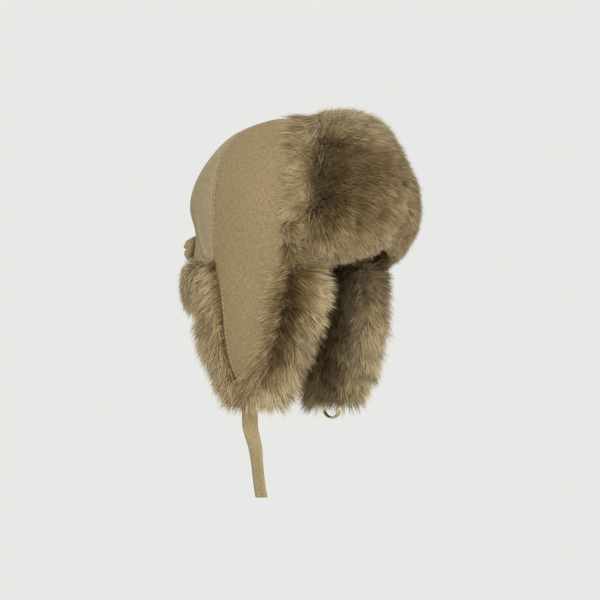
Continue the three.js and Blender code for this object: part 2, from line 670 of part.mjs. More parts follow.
const rightFlap = flapFur(SIDES.right)
  .subtract(flapCutter(SIDES.right))
  .subtract(backCutter)
  .subtract(toSolid(strapBand(FIT)));
const leftFlap = flapFur(SIDES.left)
  .subtract(flapCutter(SIDES.left))
  .subtract(backCutter)
  .subtract(slot(RING_SLOT, RING_SLOT.bottom, RING.z + RING_SLOT.above))
  .subtract(slot(TAB_SLOT, RING.z, TAB.top + FIT));
const forehead = foreheadFur()
  .subtract(crownCutter(SIDES.right))
  .subtract(crownCutter(SIDES.left))
  .subtract(block([-flapRoom.x, flapRoom.y, flapRoom.z], [-FLAP_FRONT_X, 0, flapTop]))
  .subtract(block([FLAP_FRONT_X, flapRoom.y, flapRoom.z], [flapRoom.x, 0, flapTop]));

const materials = {
  linen: () => new THREE.MeshStandardMaterial({ color: COLOURS.linen, roughness: 0.9, metalness: 0 }),
  fur: () => new THREE.MeshStandardMaterial({ color: COLOURS.fur, roughness: 0.95, metalness: 0 }),
  metal: () => new THREE.MeshStandardMaterial({ color: COLOURS.metal, roughness: 0.3, metalness: 1 }),
};

const hat = new THREE.Group();
function addPiece(name, geometry, material, place = [0, 0, 0]) {
  geometry.computeVertexNormals();
  const mesh = new THREE.Mesh(geometry, materials[material]());
  mesh.name = name;
  mesh.position.set(...place);
  hat.add(mesh);
}

addPiece('right_side_panel', sidePanel(SIDES.right, panelEdge, 0, -CLOTH, GAP / 2), 'linen');
addPiece('left_side_panel', sidePanel(SIDES.left, panelEdge, 0, -CLOTH, GAP / 2), 'linen');
addPiece('back_panel', backPanel(BACK_EDGE, 0, -CLOTH, SEAM_Y + GAP / 2), 'linen');
addPiece('front_flap_fur', fromSolid(forehead), 'fur');
addPiece('right_flap_fur', fromSolid(rightFlap), 'fur');
addPiece('left_flap_fur', fromSolid(leftFlap), 'fur');
addPiece('nape_fur', fromSolid(napeFur().subtract(backCutter)), 'fur');
addPiece('back_tie', fromSolid(backTie()), 'linen');
addPiece('chin_strap', strapBand(), 'linen');
addPiece('ring_tab', ringTab(), 'linen');
for (const [i, shift] of [-RING.apart / 2, RING.apart / 2].entries()) {
  addPiece(`strap_ring_${i + 1}`, strapRing(), 'metal', [RING.x + shift, RING.y, RING.z]);
}

export default hat;
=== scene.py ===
"""Looks of a fur-trimmed trapper hat, built round its fixed frame.

Lengths are millimetres until a mesh is made, then metres. +Z is up, the wearer's face is towards -Y and their
right side towards -X. The angle round the hat, theta, is 0 at the forehead, 90 at an ear and 180 at the nape.
"""

import bpy
import numpy as np
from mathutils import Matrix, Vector, kdtree


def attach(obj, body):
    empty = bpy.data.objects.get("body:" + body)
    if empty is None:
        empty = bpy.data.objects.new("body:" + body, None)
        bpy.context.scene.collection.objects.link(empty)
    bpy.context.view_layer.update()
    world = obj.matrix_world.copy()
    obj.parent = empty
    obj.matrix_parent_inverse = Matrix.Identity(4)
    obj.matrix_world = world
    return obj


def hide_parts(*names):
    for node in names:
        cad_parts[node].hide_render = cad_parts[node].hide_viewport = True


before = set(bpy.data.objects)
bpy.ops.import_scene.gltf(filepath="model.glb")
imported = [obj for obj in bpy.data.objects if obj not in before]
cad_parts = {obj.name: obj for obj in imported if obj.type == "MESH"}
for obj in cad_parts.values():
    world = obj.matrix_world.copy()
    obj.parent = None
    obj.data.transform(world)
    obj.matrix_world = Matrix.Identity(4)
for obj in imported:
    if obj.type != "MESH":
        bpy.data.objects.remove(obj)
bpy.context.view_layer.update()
rng = np.random.default_rng(11)

MM = 0.001
RIGHT, LEFT = -1, 1
SIDES = ((RIGHT, "right"), (LEFT, "left"))
DOWN = np.array([0.0, 0.0, -1.0])
DENSITY = 1.0

# The crown's form, as in the frame
HALF_WIDTH, HALF_LENGTH, WALL, DOME = 84.0, 106.0, 50.0, 97.0
HUB = np.array([0.0, 0.0, WALL])
CLOTH = 2.0
GAP = 0.3
SEAM_Y = 48.0
ARCH = np.sqrt(1 - (SEAM_Y / HALF_LENGTH) ** 2)

SIDE_EDGE = np.array([
    (1, 20), (9, 19.5), (18, 18), (27, 15), (36, 11), (45, 7), (54, 3), (61, 0), (66, -4), (69, -17),
    (71, -37), (73, -60), (76, -80), (80, -100), (84, -115), (88, -123.5), (92, -124.5), (95, -121),
    (98, -113), (102, -97), (105.5, -75), (108, -52), (110, -33), (113, -14), (117, -1),
], float)
PARTING = SIDE_EDGE[8:17]
REAR_EDGE = SIDE_EDGE[16:]
BACK_EDGE = np.array([(117, -3), (122, -14), (130, -30), (142, -37), (180, -39)], float)
FOREHEAD_OUTLINE = np.array([
    (0, 57), (24, 57), (45, 61), (68, 66), (90, 70), (99, 67), (107, 63), (116, 64), (128.5, 72),
    (136, 60.5), (142, 54), (155, 45), (167, 37), (180, 33.5),
], float)
FOREHEAD_TILT, FOREHEAD_DEPTH, FOREHEAD_EDGE = 16.0, 37.0, 3.0
# Ear flap fur: height, then the columns named here: its edges, how far it stands out, how deep the lining is
FRONT, REAR, PROUD, DEEP = 1, 2, 3, 4
FLAP_FUR = np.array([
    (-1.2, 54, 121, 3, 9), (-8, 44, 126, 11, 20), (-25, 41, 127.4, 13, 25), (-47, 43, 127.4, 14, 26),
    (-60, 45.5, 130, 14, 26), (-80, 50, 125.5, 14, 26), (-96, 53.5, 119, 14, 26), (-112, 57, 112, 14, 25),
    (-128, 61, 106, 13, 22), (-141, 67, 101, 10, 17), (-150, 75, 94, 5, 9),
], float)
# Strap: height, middle of its width, width and turn about the vertical
STRAP = np.array([
    (-116, -83.6, -3, 16.5, 0), (-126, -83.8, -3.1, 16.5, -3), (-136, -84, -3.3, 16.5, -16),
    (-150, -84, -3.8, 16.5, -28), (-168, -84.5, -4.2, 16, -30), (-178, -85, -7, 15.6, -20),
    (-190, -85, -10.5, 15.2, -4), (-206, -85, -12.8, 14.6, 8), (-224, -84, -14.4, 14.3, 8),
    (-241, -83, -16.8, 14, 4),
], float)
STRAP_THICKNESS = 1.8
RING_RADIUS, RING_WIRE, RING_PLACE, RING_APART = 10.5, 1.15, (80.6, -6.0, -151.6), 3.2
TAB_TOP, TAB_WIDTH, TAB_THICKNESS, TAB_CLEARANCE = -119.0, 9.0, 1.2, 0.35
TIE = {"middle": 14.5, "knot": 7.5, "loop": 12.6, "reach": 34.0, "depth": 16.0, "taper": 0.52,
       "mm_per_degree": 1.5}


def rad(v):
    return np.radians(v)


def sine(degrees):
    return np.sin(rad(degrees))


def cosine(degrees):
    return np.cos(rad(degrees))


def smoothstep(v, low, high):
    t = np.clip((v - low) / (high - low), 0, 1)
    return t * t * (3 - 2 * t)


def fade(v, low, high):
    return 1 - smoothstep(v, low, high)


def bump(v, centre, spread):
    return np.exp(-(((v - centre) / spread) ** 2))


def unit(v):
    return v / np.maximum(np.linalg.norm(v, axis=-1, keepdims=True), 1e-9)


def relief(theta, z):
    back = smoothstep(theta, 132, 168)
    tuck = -10 * back * bump(z, 26, 17)
    gathers = 1.1 * back * bump(z, 22, 24) * cosine(theta * 22)
    narrowing = -2.5 * smoothstep(-z, -50, 0)
    flare = 6 * smoothstep(-z, 5, 120)
    crease = 0.7 * sine(theta * 5 + z * 1.6) * smoothstep(z, -30, 40) * bump(theta, 95, 40)
    return tuck + gathers + narrowing + flare + crease


def crown_parts(points):
    """For rough points: the matching points of the cloth's outer face, its normals, and the angle theta."""
    q = points - HUB
    rise = np.maximum(q[..., 2], 0)
    level = np.sqrt((q[..., 0] / HALF_WIDTH) ** 2 + (q[..., 1] / HALF_LENGTH) ** 2 + (rise / DOME) ** 2)
    level = np.maximum(level, 1e-6)[..., None]
    flat = q[..., :2] / level
    up = np.where(q[..., 2:] > 0, q[..., 2:] / level, q[..., 2:])
    q = np.concatenate([flat, up], -1)
    rise = np.maximum(q[..., 2], 0)
    normal = unit(np.stack([q[..., 0] / HALF_WIDTH ** 2, q[..., 1] / HALF_LENGTH ** 2, rise / DOME ** 2], -1))
    theta = np.degrees(np.arctan2(np.abs(q[..., 0]) / HALF_WIDTH, -q[..., 1] / HALF_LENGTH))
    return q + HUB + normal * relief(theta, q[..., 2] + WALL)[..., None], normal, theta


def on_crown(points, offset):
    base, normal, _ = crown_parts(points)
    return base + normal * np.asarray(offset)[..., None]


def beside(side, theta, z, offset=0.0):
    """The place at an angle and height on one side of the hat, an offset out from the cloth."""
    side, theta, z, offset = np.broadcast_arrays(side, theta, z, offset)
    flat = np.stack([side * HALF_WIDTH * sine(theta), -HALF_LENGTH * cosine(theta), z], -1)
    return on_crown(flat.astype(float), offset)


def run_of(line, weights=1.0):
    """The distance along a line of points, or down each column of a grid."""
    step = np.linalg.norm(np.diff(line, axis=0) * weights, axis=-1)
    return np.concatenate([np.zeros((1,) + step.shape[1:]), np.cumsum(step, 0)])


def look_up(table, x, column=1):
    return np.interp(x, table[:, 0], table[:, column])


def curve_through(table, count):
    """A smooth line through the rows of a table, evenly spaced along its length."""
    padded = np.vstack([2 * table[0] - table[1], table, 2 * table[-1] - table[-2]])
    t = np.linspace(0, 1, 12, endpoint=False)[:, None]
    pieces = []
    for a, b, c, d in zip(padded, padded[1:], padded[2:], padded[3:]):
        pieces.append(b + 0.5 * t * (c - a + t * (2 * a - 5 * b + 4 * c - d + t * (3 * (b - c) + d - a))))
    line = np.vstack([*pieces, table[-1:]])
    along = run_of(line, np.where(np.arange(line.shape[1]) == 0, 1.8, 1.0))
    even = np.linspace(0, along[-1], count)
    return np.stack([np.interp(even, along, column) for column in line.T], -1)


# Meshes
def add_mesh(name, points, faces, uv=None, attributes=None):
    """points in millimetres, faces as one array of triangles or quads, or a list of such arrays."""
    faces = [np.asarray(f) for f in (faces if isinstance(faces, list) else [faces])]
    mesh = bpy.data.meshes.new(name)
    corners = np.concatenate([f.ravel() for f in faces]).astype(np.int32)
    totals = np.concatenate([np.full(len(f), f.shape[1]) for f in faces])
    starts = np.concatenate([[0], np.cumsum(totals)[:-1]]).astype(np.int32)
    mesh.vertices.add(len(points))
    mesh.vertices.foreach_set("co", (np.asarray(points) * MM).astype(np.float32).ravel())
    mesh.loops.add(len(corners))
    mesh.loops.foreach_set("vertex_index", corners)
    mesh.polygons.add(len(totals))
    mesh.polygons.foreach_set("loop_start", starts)
    mesh.update(calc_edges=True)
    if uv is not None:
        layer = mesh.uv_layers.new(name="cloth")
        layer.data.foreach_set("uv", np.asarray(uv, np.float32)[corners].ravel())
    for key, values in (attributes or {}).items():
        layer = mesh.attributes.new(key, "FLOAT", "POINT")
        layer.data.foreach_set("value", np.asarray(values, np.float32).ravel())
    obj = bpy.data.objects.new(name, mesh)
    bpy.context.scene.collection.objects.link(obj)
    return obj


def grid_faces(rows, columns, closed=False):
    i, j = np.meshgrid(np.arange(rows - 1), np.arange(columns if closed else columns - 1), indexing="ij")
    near, far = i * columns, (i + 1) * columns
    k = (j + 1) % columns
    return np.stack([near + j, near + k, far + k, far + j], -1).reshape(-1, 4)


def grid_mesh(name, grid, closed=False, uv=None, attributes=None, outward=None):
    rows, columns = grid.shape[:2]
    faces = grid_faces(rows, columns, closed)
    points = grid.reshape(-1, 3)
    if outward is not None and facing_in(points, faces, outward):
        faces = faces[:, ::-1]
    return add_mesh(name, points, faces, uv, attributes)


def facing_in(points, faces, outward):
    a, b, d = points[faces[:, 0]], points[faces[:, 1]], points[faces[:, 3]]
    normal = np.cross(b - a, d - a)
    return (normal * (a - outward)).sum() < 0


def shell_mesh(name, outer, inner, uv):
    """Cloth with two faces, closed round its edge."""
    rows, columns = outer.shape[:2]
    n = rows * columns
    top = grid_faces(rows, columns)
    if facing_in(outer.reshape(-1, 3), top, HUB):
        top = top[:, ::-1]
    rim = np.concatenate([
        np.arange(columns), np.arange(1, rows) * columns + columns - 1,
        (rows - 1) * columns + np.arange(columns - 2, -1, -1), np.arange(rows - 2, 0, -1) * columns,
    ])
    after = np.roll(rim, -1)
    side = np.stack([rim, after, after + n, rim + n], -1)
    points = np.concatenate([outer.reshape(-1, 3), inner.reshape(-1, 3)])
    uv = np.concatenate([uv.reshape(-1, 2)] * 2)
    return add_mesh(name, points, [top, top[:, ::-1] + n, side], uv)


def take(piece, *nodes, slot, material):
    piece.data.materials.append(material)
    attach(piece, "root")
    if nodes:
        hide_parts(*nodes)
    return piece


# Materials
def srgb(r, g, b):
    c = np.array([r, g, b]) / 255
    return (*np.where(c <= 0.04045, c / 12.92, ((c + 0.055) / 1.055) ** 2.4), 1.0)


class Nodes:
    """A short way to write a node tree."""

    def __init__(self, name):
        self.material = bpy.data.materials.new(name)
        self.material.use_nodes = True
        self.tree = self.material.node_tree
        self.shader = self.tree.nodes["Principled BSDF"]

    def add(self, kind, inputs=None, **settings):
        node = self.tree.nodes.new(kind)
        for key, value in settings.items():
            setattr(node, key, value)
        for key, value in (inputs or {}).items():
            self.set(node.inputs[key], value)
        return node

    def set(self, socket, value):
        if isinstance(value, bpy.types.NodeSocket):
            self.tree.links.new(value, socket)
        else:
            socket.default_value = value

    def math(self, operation, a, b=None):
        node = self.add("ShaderNodeMath", operation=operation)
        self.set(node.inputs[0], a)
        if b is not None:
            self.set(node.inputs[1], b)
        return node.outputs[0]

    def ramp(self, factor, stops):
        node = self.add("ShaderNodeValToRGB", {"Fac": factor})
        elements = node.color_ramp.elements
        while len(elements) < len(stops):
            elements.new(0.5)
        for element, (place, colour) in zip(elements, stops):
            element.position = place
            element.color = colour
        return node.outputs["Color"]

    def remap(self, value, low, high, new_low, new_high):
        limits = {"From Min": low, "From Max": high, "To Min": new_low, "To Max": new_high}
        return self.add("ShaderNodeMapRange", {"Value": value, **limits}).outputs["Result"]

    def mix(self, factor, a, b, blend="MIX"):
        node = self.add("ShaderNodeMix", {"Factor": factor}, data_type="RGBA", blend_type=blend)
        self.set(node.inputs["A"], a)
        self.set(node.inputs["B"], b)
        return node.outputs["Result"]

    def noise(self, vector, scale, detail, **more):
        inputs = {"Vector": vector, "Scale": scale, "Detail": detail, **more}
        return self.add("ShaderNodeTexNoise", inputs).outputs["Fac"]

    def place(self):
        return self.add("ShaderNodeNewGeometry").outputs["Position"]

    def attribute(self, name):
        return self.add("ShaderNodeAttribute", attribute_name=name).outputs["Fac"]

    def surface(self, colour, roughness, bump=None, **sockets):
        """bump is a height, a strength and a distance; the rest are the shader's sockets, _ for a space."""
        if bump is not None:
            node = self.add("ShaderNodeBump", dict(zip(("Height", "Strength", "Distance"), bump)))
            sockets["Normal"] = node.outputs["Normal"]
        for key, value in {"Base_Color": colour, "Roughness": roughness, **sockets}.items():
            self.set(self.shader.inputs[key.replace("_", " ")], value)
        return self.material


def linen_material(name, light):
    """Woven linen with slubs, its colours times light."""
    m = Nodes(name)
    shade = lambda *colour: srgb(*(np.array(colour) * light))
    uv = m.add("ShaderNodeUVMap", uv_map="cloth").outputs["UV"]
    slubs, waves = [], []
    for bands, across, along in (("X", 1.0, 0.16), ("Y", 0.18, 1.0)):
        stretched = m.add("ShaderNodeMapping", {"Vector": uv, "Scale": (across, along, 1)}).outputs["Vector"]
        slubs.append(m.noise(stretched, 1.05, 4.0, Roughness=0.75))
        settings = {"Vector": uv, "Scale": 0.34, "Distortion": 1.6, "Detail": 2.0, "Detail Scale": 1.4}
        waves.append(m.add("ShaderNodeTexWave", settings, bands_direction=bands).outputs["Fac"])
    weave = m.math("MULTIPLY", *waves)
    slubs = m.math("ADD", *slubs)
    patches = m.noise(uv, 0.03, 3.0)
    base = m.ramp(m.remap(slubs, 0.7, 1.3, 0.0, 1.0), [
        (0.0, shade(114, 96, 65)), (0.5, shade(148, 129, 95)), (1.0, shade(178, 161, 125)),
    ])
    base = m.mix(m.remap(weave, 0.0, 0.5, 0.2, 0.0), base, shade(104, 87, 58))
    base = m.mix(m.remap(patches, 0.35, 0.65, 0.0, 0.2), base, shade(140, 117, 80))
    height = m.math("ADD", m.math("MULTIPLY", slubs, 0.5), weave)
    return m.surface(base, m.remap(slubs, 0.7, 1.3, 0.92, 0.78), (height, 0.3, 0.0004), Sheen_Weight=0.08,
                     Sheen_Roughness=0.5, Sheen_Tint=srgb(225, 210, 180), Specular_IOR_Level=0.25)


def thread_material(name):
    m = Nodes(name)
    twist = m.noise(m.place(), 900.0, 2.0)
    colour = m.ramp(twist, [(0.3, srgb(168, 149, 112)), (0.7, srgb(198, 180, 142))])
    return m.surface(colour, m.remap(twist, 0.3, 0.7, 0.55, 0.75), (twist, 0.4, 0.0002), Sheen_Weight=0.2)


def hair_material(name):
    """Hair from its root to its tip: 'along' runs 0 to 1, 'tone' is each hair's lightness: its own, and in
    places painted light and shade.
    """
    m = Nodes(name)
    tone = m.attribute("tone")
    patch = m.noise(m.place(), 55.0, 3.0)
    colour = m.ramp(m.math("ADD", m.attribute("along"), m.remap(patch, 0.3, 0.7, -0.1, 0.1)), [
        (0.0, srgb(47, 35, 19)), (0.25, srgb(88, 69, 40)), (0.55, srgb(143, 120, 79)),
        (0.8, srgb(187, 165, 122)), (1.0, srgb(219, 201, 161)),
    ])
    shade = m.mix(tone, srgb(112, 98, 82), srgb(255, 255, 255))
    return m.surface(m.mix(1.0, colour, shade, "MULTIPLY"), m.remap(tone, 0.0, 1.0, 0.62, 0.45),
                     Specular_IOR_Level=0.18, Sheen_Weight=0.05)


def undercoat_material(name):
    m = Nodes(name)
    place = m.place()
    fine, wide = m.noise(place, 420.0, 4.0), m.noise(place, 60.0, 3.0)
    colour = m.ramp(fine, [(0.3, srgb(34, 27, 19)), (0.7, srgb(74, 60, 42))])
    colour = m.mix(m.remap(wide, 0.3, 0.7, 0.0, 0.5), colour, srgb(58, 46, 32))
    # Painted light: an attribute mixes the undercoat towards a light colour at the forehead's top and the
    # flaps' front edges
    colour = m.mix(m.attribute("painted_light"), colour, srgb(146, 126, 95))
    return m.surface(colour, m.remap(fine, 0.3, 0.7, 0.95, 0.8), (fine, 0.8, 0.002))


def metal_material(name):
    m = Nodes(name)
    scratch = m.noise(m.place(), 260.0, 5.0)
    colour = m.ramp(scratch, [(0.35, srgb(186, 168, 128)), (0.7, srgb(214, 200, 164))])
    return m.surface(colour, m.remap(scratch, 0.3, 0.7, 0.16, 0.32), Metallic=1.0)


def paper_material(name):
    m = Nodes(name)
    grain = m.noise(m.place(), 90.0, 3.0)
    colour = m.ramp(grain, [(0.3, srgb(195, 195, 192)), (0.7, srgb(200, 200, 197))])
    return m.surface(colour, m.remap(grain, 0.3, 0.7, 0.85, 0.95))


linen = linen_material("linen_cloth", (0.975, 0.975, 0.97))
# Painted light: a brighter, cooler copy of the linen for the back panel, standing in for light falling on it
linen_painted_light_back = linen_material("linen_back_painted_light_cloth", (1.05, 1.09, 1.15))
# Painted light: a brighter copy of the linen for the strap, the tie loops and the knot
linen_lit = linen_material("linen_tie_painted_light_cloth", (1.07, 1.09, 1.12))
thread = thread_material("linen_thread")
hair = hair_material("fur_hair")
undercoat = undercoat_material("fur_undercoat")
metal = metal_material("ring_metal_polished")


# Linen
def seam_sink(distance, run):
    """How far the cloth dips towards a seam, with small puckers along it."""
    puckers = 1 + np.sin(run * 0.75) * 0.6
    return -0.9 * np.exp(-(distance / 1.3) ** 2) - 0.35 * np.exp(-(distance / 6) ** 2) * puckers


def soft_folds(theta, z):
    """Shallow hollows and folds that worn cloth has, on top of the frame's own form."""
    waves = 0.5 * sine(theta * 7 + z * 2.1 + 40) + 0.4 * sine(theta * -9 + z * 3.4)
    return waves * smoothstep(z, -120, -20) * bump(theta, 100, 45)


def panel(name, rough, offset, across, material):
    """A cloth panel an offset out from rough points; across is its first texture coordinate."""
    base, normal, _ = crown_parts(rough)
    outer = base + normal * offset[..., None]
    inner = base + normal * (np.minimum(offset, 0.4) - CLOTH)[..., None]
    uv = np.stack([np.broadcast_to(across, offset.shape), run_of(rough)], -1)
    piece = shell_mesh(name, outer, inner, uv)
    take(piece, name.replace("_linen", ""), slot="linen", material=material)


def side_panel(side, name):
    columns = curve_through(SIDE_EDGE, 88)
    theta, low = columns[:, 0], columns[:, 1]
    theta = np.minimum(theta, np.degrees(np.arccos(-(SEAM_Y - GAP / 2) / HALF_LENGTH)))
    rise = rad(np.linspace(90, 0, 26))[:, None]
    width = sine(theta)[None, :]
    x = HALF_WIDTH * width * np.cos(rise)
    z = WALL + DOME * width * np.sin(rise)
    down = np.linspace(0, 1, 28)[1:, None] ** 0.9
    x = np.vstack([x, np.repeat(x[-1:], len(down), 0)])
    z = np.vstack([z, WALL + (low[None, :] - WALL) * down])
    x = np.maximum(x, GAP / 2)
    x[:, 0] = x[0] = GAP / 2
    y = np.broadcast_to(-HALF_LENGTH * cosine(theta)[None, :], x.shape)
    rough = np.stack([side * x, y, z], -1)
    around = crown_parts(rough)[2]
    seam = seam_sink(SEAM_Y - y, z) * smoothstep(y, 20, 47) + seam_sink(x, y) * (z > WALL)
    edge = -0.8 * bump(z - low[None, :], 0, 1.6)
    panel(name, rough, seam + edge + soft_folds(around, z), theta * 1.66, linen)


# The tucked back's fold: height and angle round the hat
FOLD = np.array([(6, 125), (15, 128), (31, 132), (59, 138)], float)


def back_panel():
    seam_y = SEAM_Y + GAP / 2
    corner = np.degrees(np.arccos(-seam_y / HALF_LENGTH))
    u = np.linspace(-1, 1, 112)
    side = np.where(u < 0, -1.0, 1.0)
    theta = 180 - np.abs(u) * (180 - corner)
    low = np.stack([side * HALF_WIDTH * sine(theta), -HALF_LENGTH * cosine(theta),
                    look_up(curve_through(BACK_EDGE, 60), theta)], -1)
    rise = rad(90 * (1 - np.abs(u)))
    high = np.stack([side * HALF_WIDTH * ARCH * np.cos(rise), np.full_like(u, seam_y),
                     WALL + DOME * ARCH * np.sin(rise)], -1)
    share = np.linspace(0, 1, 44)[:, None, None]
    rough = low[None] * (1 - share) + high[None] * share
    base, _, around = crown_parts(rough)
    z = base[..., 2]
    pleats = bump(z, 22, 20) * smoothstep(around, 140, 165)
    folds = pleats * (0.9 * np.abs(sine(around * 13 + z * 1.2)) ** 0.6 - 0.5)
    past_fold = around - look_up(FOLD, z)
    fold = (2.0 * bump(past_fold, 0, 2.0) - 3.0 * bump(past_fold, 4.5, 2.4)) * smoothstep(z, 0, 12)
    folds = folds + fold * fade(z, 46, 64)
    slack = 0.8 * sine(around * 6 + z * 4) * smoothstep(around, 122, 150) * smoothstep(z, -10, 40)
    distance = np.maximum(base[..., 1] - SEAM_Y, 0)
    offset = seam_sink(distance, z) * (share[..., 0] > 0.3) + folds + slack
    panel("back_panel_linen", rough, offset, u * 100, linen_painted_light_back)


def stitches(name, line, out, length=3.6, pitch=5.2, thick=0.42):
    """Short raised stitches along a line of points, each a small rounded bar."""
    run = run_of(line)
    at = lambda table, s: np.stack([np.interp(s, run, column) for column in table.T], -1)
    starts = np.arange(pitch, run[-1] - pitch, pitch)
    starts = starts + rng.uniform(-0.25, 0.25, len(starts))
    points, faces = [], []
    for start in starts:
        s = start + length * np.array([0.0, 0.12, 0.5, 0.88, 1.0])
        size = thick * np.array([0.35, 0.85, 1.0, 0.85, 0.35])
        lift = np.array([-0.35, 0.0, 0.15, 0.0, -0.35])
        centre, normal = at(line, s), unit(at(out, s))
        centre = centre + normal * lift[:, None]
        across = unit(np.cross(np.gradient(centre, axis=0), normal))
        turn = np.linspace(0, 2 * np.pi, 6, endpoint=False)
        around = across[:, None] * np.cos(turn)[:, None] + 0.7 * normal[:, None] * np.sin(turn)[:, None]
        ring = centre[:, None] + size[:, None, None] * around
        faces.append(grid_faces(5, 6, True) + 30 * len(points))
        points.append(ring.reshape(-1, 3))
    return take(add_mesh(name, np.concatenate(points), np.concatenate(faces)), slot="linen", material=thread)


side_panel(RIGHT, "right_side_panel_linen")
side_panel(LEFT, "left_side_panel_linen")
back_panel()

for side, label in SIDES:
    across = side * HALF_WIDTH * ARCH
    rise = rad(np.linspace(88, 0, 80))
    wall = np.linspace(WALL, -2, 40)[1:]
    rows = np.concatenate([
        np.stack([across * np.cos(rise), np.full(80, SEAM_Y - 4.5), WALL + DOME * ARCH * np.sin(rise)], -1),
        np.stack([np.full(39, across), np.full(39, SEAM_Y - 4.5), wall], -1),
    ])
    stitches(f"{label}_back_seam_stitches", *crown_parts(rows)[:2])
    y = np.linspace(SEAM_Y - 8, -40, 90)
    top = np.stack([np.full(90, side * 4.5), y, WALL + DOME * np.sqrt(1 - (y / HALF_LENGTH) ** 2)], -1)
    stitches(f"{label}_top_seam_stitches", *crown_parts(top)[:2])

for side, label in SIDES:
    line = curve_through(REAR_EDGE, 120)[4:]
    inset = np.interp(line[:, 1], [-122, -100, -20], [0.3, 1.6, 2.2])
    stitches(f"{label}_flap_edge_stitches", *crown_parts(beside(side, line[:, 0] - inset, line[:, 1]))[:2])


# Tie, strap, tab and rings
def band(centre, wide, across, out, thickness):
    """A flat band with rounded edges, open along its middle line, with capped ends."""
    half = wide / 2
    profile = np.array([(-1, -0.35), (-0.985, -1), (-0.5, -1), (0, -1), (0.5, -1), (0.985, -1), (1, -0.35),
                        (1, 0.35), (0.985, 1), (0.5, 1), (0, 1), (-0.5, 1), (-0.985, 1), (-1, 0.35)])
    sideways = half[:, None] * profile[None, :, 0]
    grid = centre[:, None] + across[:, None] * sideways[..., None]
    grid = grid + out[:, None] * (thickness / 2 * profile[:, 1])[None, :, None]
    rows, columns = sideways.shape
    uv = np.stack([sideways, np.broadcast_to(run_of(centre)[:, None], sideways.shape)], -1)
    j = np.arange(1, columns // 2 - 1)
    cap = np.stack([j, j + 1, columns - 2 - j, columns - 1 - j], -1)
    faces = [grid_faces(rows, columns, True), cap, cap[:, ::-1] + (rows - 1) * columns]
    return grid.reshape(-1, 3), faces, uv.reshape(-1, 2)


def strap_frame(count):
    rows = curve_through(STRAP, count)
    z, x, y, width, turn = rows.T
    across = np.stack([sine(turn), cosine(turn), np.zeros(count)], -1)
    centre = np.stack([x, y, z], -1)
    along = unit(np.gradient(centre, axis=0))
    out = unit(np.cross(along, across))
    out *= np.sign((out * np.array([-1.0, 0, 0])).sum(-1, keepdims=True))
    return centre, width, across, out


def chin_strap():
    centre, width, across, out = strap_frame(90)
    strap = add_mesh("chin_strap_linen", *band(centre, width, across, out, STRAP_THICKNESS))
    take(strap, "chin_strap", slot="linen", material=linen_lit)
    for sign, label in ((-1, "front"), (1, "rear")):
        line = centre + across * (sign * (width / 2 - 2.2))[:, None] + out * (STRAP_THICKNESS / 2)
        stitches(f"strap_{label}_stitches", line[:-2], out[:-2], length=2.2, pitch=3.4, thick=0.2)


def tie_loop(side, name):
    angle = rad(np.linspace(0, 360, 73)[:-1])
    c, s = np.cos(angle), np.sin(angle)
    along = TIE["reach"] * (0.56 - 0.44 * c)
    wide = smoothstep(along, 2, TIE["reach"] * 0.8)
    high = TIE["knot"] + (TIE["loop"] - TIE["knot"]) * wide
    out = TIE["depth"] * (0.5 + 0.5 * s * (0.35 + 0.65 * wide))
    narrowed = high * (1 - TIE["taper"] * (out / TIE["depth"]) ** 2)
    up = np.array([-1, -0.85, -0.7, -0.52, -0.36, -0.26, -0.19, -0.13, -0.07, 0, 0.12, 0.3, 0.5, 0.75, 1])
    wrinkle = 0.5 * np.sin(up[None, :] * 7 + c[:, None] * 2) * wide[:, None]
    wrinkle = wrinkle + 0.5 * np.cos(up[None, :] * 11) * (1 - wide[:, None])
    # The loop's outer edge is folded over: it lies a step back below a narrow slit
    set_back = 3.0 * smoothstep(-up, 0.04, 0.22) + 2.0 * bump(up, -0.13, 0.07)
    crease = set_back[None, :] * smoothstep(out, 0.4 * TIE["depth"], TIE["depth"])[:, None]

    def face(inset):
        theta = 180 - (along + inset * c) / TIE["mm_per_degree"]
        lift = (out - inset * s)[:, None] + wrinkle * np.sign(s)[:, None] * 0.6 - crease
        height = TIE["middle"] + up[None, :] * narrowed[:, None]
        return beside(side, theta[:, None], height, np.maximum(lift, 0.3))

    skin = np.concatenate([face(0.0), face(CLOTH * 0.85)[:, ::-1]], 1)
    rows, columns = skin.shape[:2]
    first = np.arange(columns)
    last = first + (rows - 1) * columns
    closing = np.stack([last, np.roll(last, -1), np.roll(first, -1), first], -1)
    faces = np.concatenate([grid_faces(rows, columns, True), closing])
    across = np.tile(np.concatenate([up, up[::-1]]) * 12, rows)
    uv = np.stack([across, np.repeat(np.arange(rows) * 1.2, columns)], -1)
    loop = add_mesh(name, skin.reshape(-1, 3), faces, uv)
    take(loop, "back_tie", slot="linen", material=linen_lit)


def tie_knot():
    up = rad(np.linspace(-90, 90, 28))[:, None]
    turn = rad(np.linspace(0, 360, 49)[:-1])[None, :]
    x = np.cos(up) * np.sin(turn)
    y = np.cos(up) * np.cos(turn)
    z = np.sin(up) * np.ones_like(turn)
    crumple = 1 + 0.05 * np.sin(x * 9 + z * 4)
    theta = 180 - np.abs(x) * 6.4
    lift = TIE["depth"] * (0.5 + 0.47 * y * crumple)
    place = beside(np.where(x < 0, RIGHT, LEFT), theta, TIE["middle"] + z * TIE["knot"] * 1.25, lift)
    uv = np.stack([turn * 9 + 0 * up, z * 10], -1).reshape(-1, 2)
    take(grid_mesh("tie_knot_linen", place, True, uv), "back_tie", slot="linen", material=linen_lit)


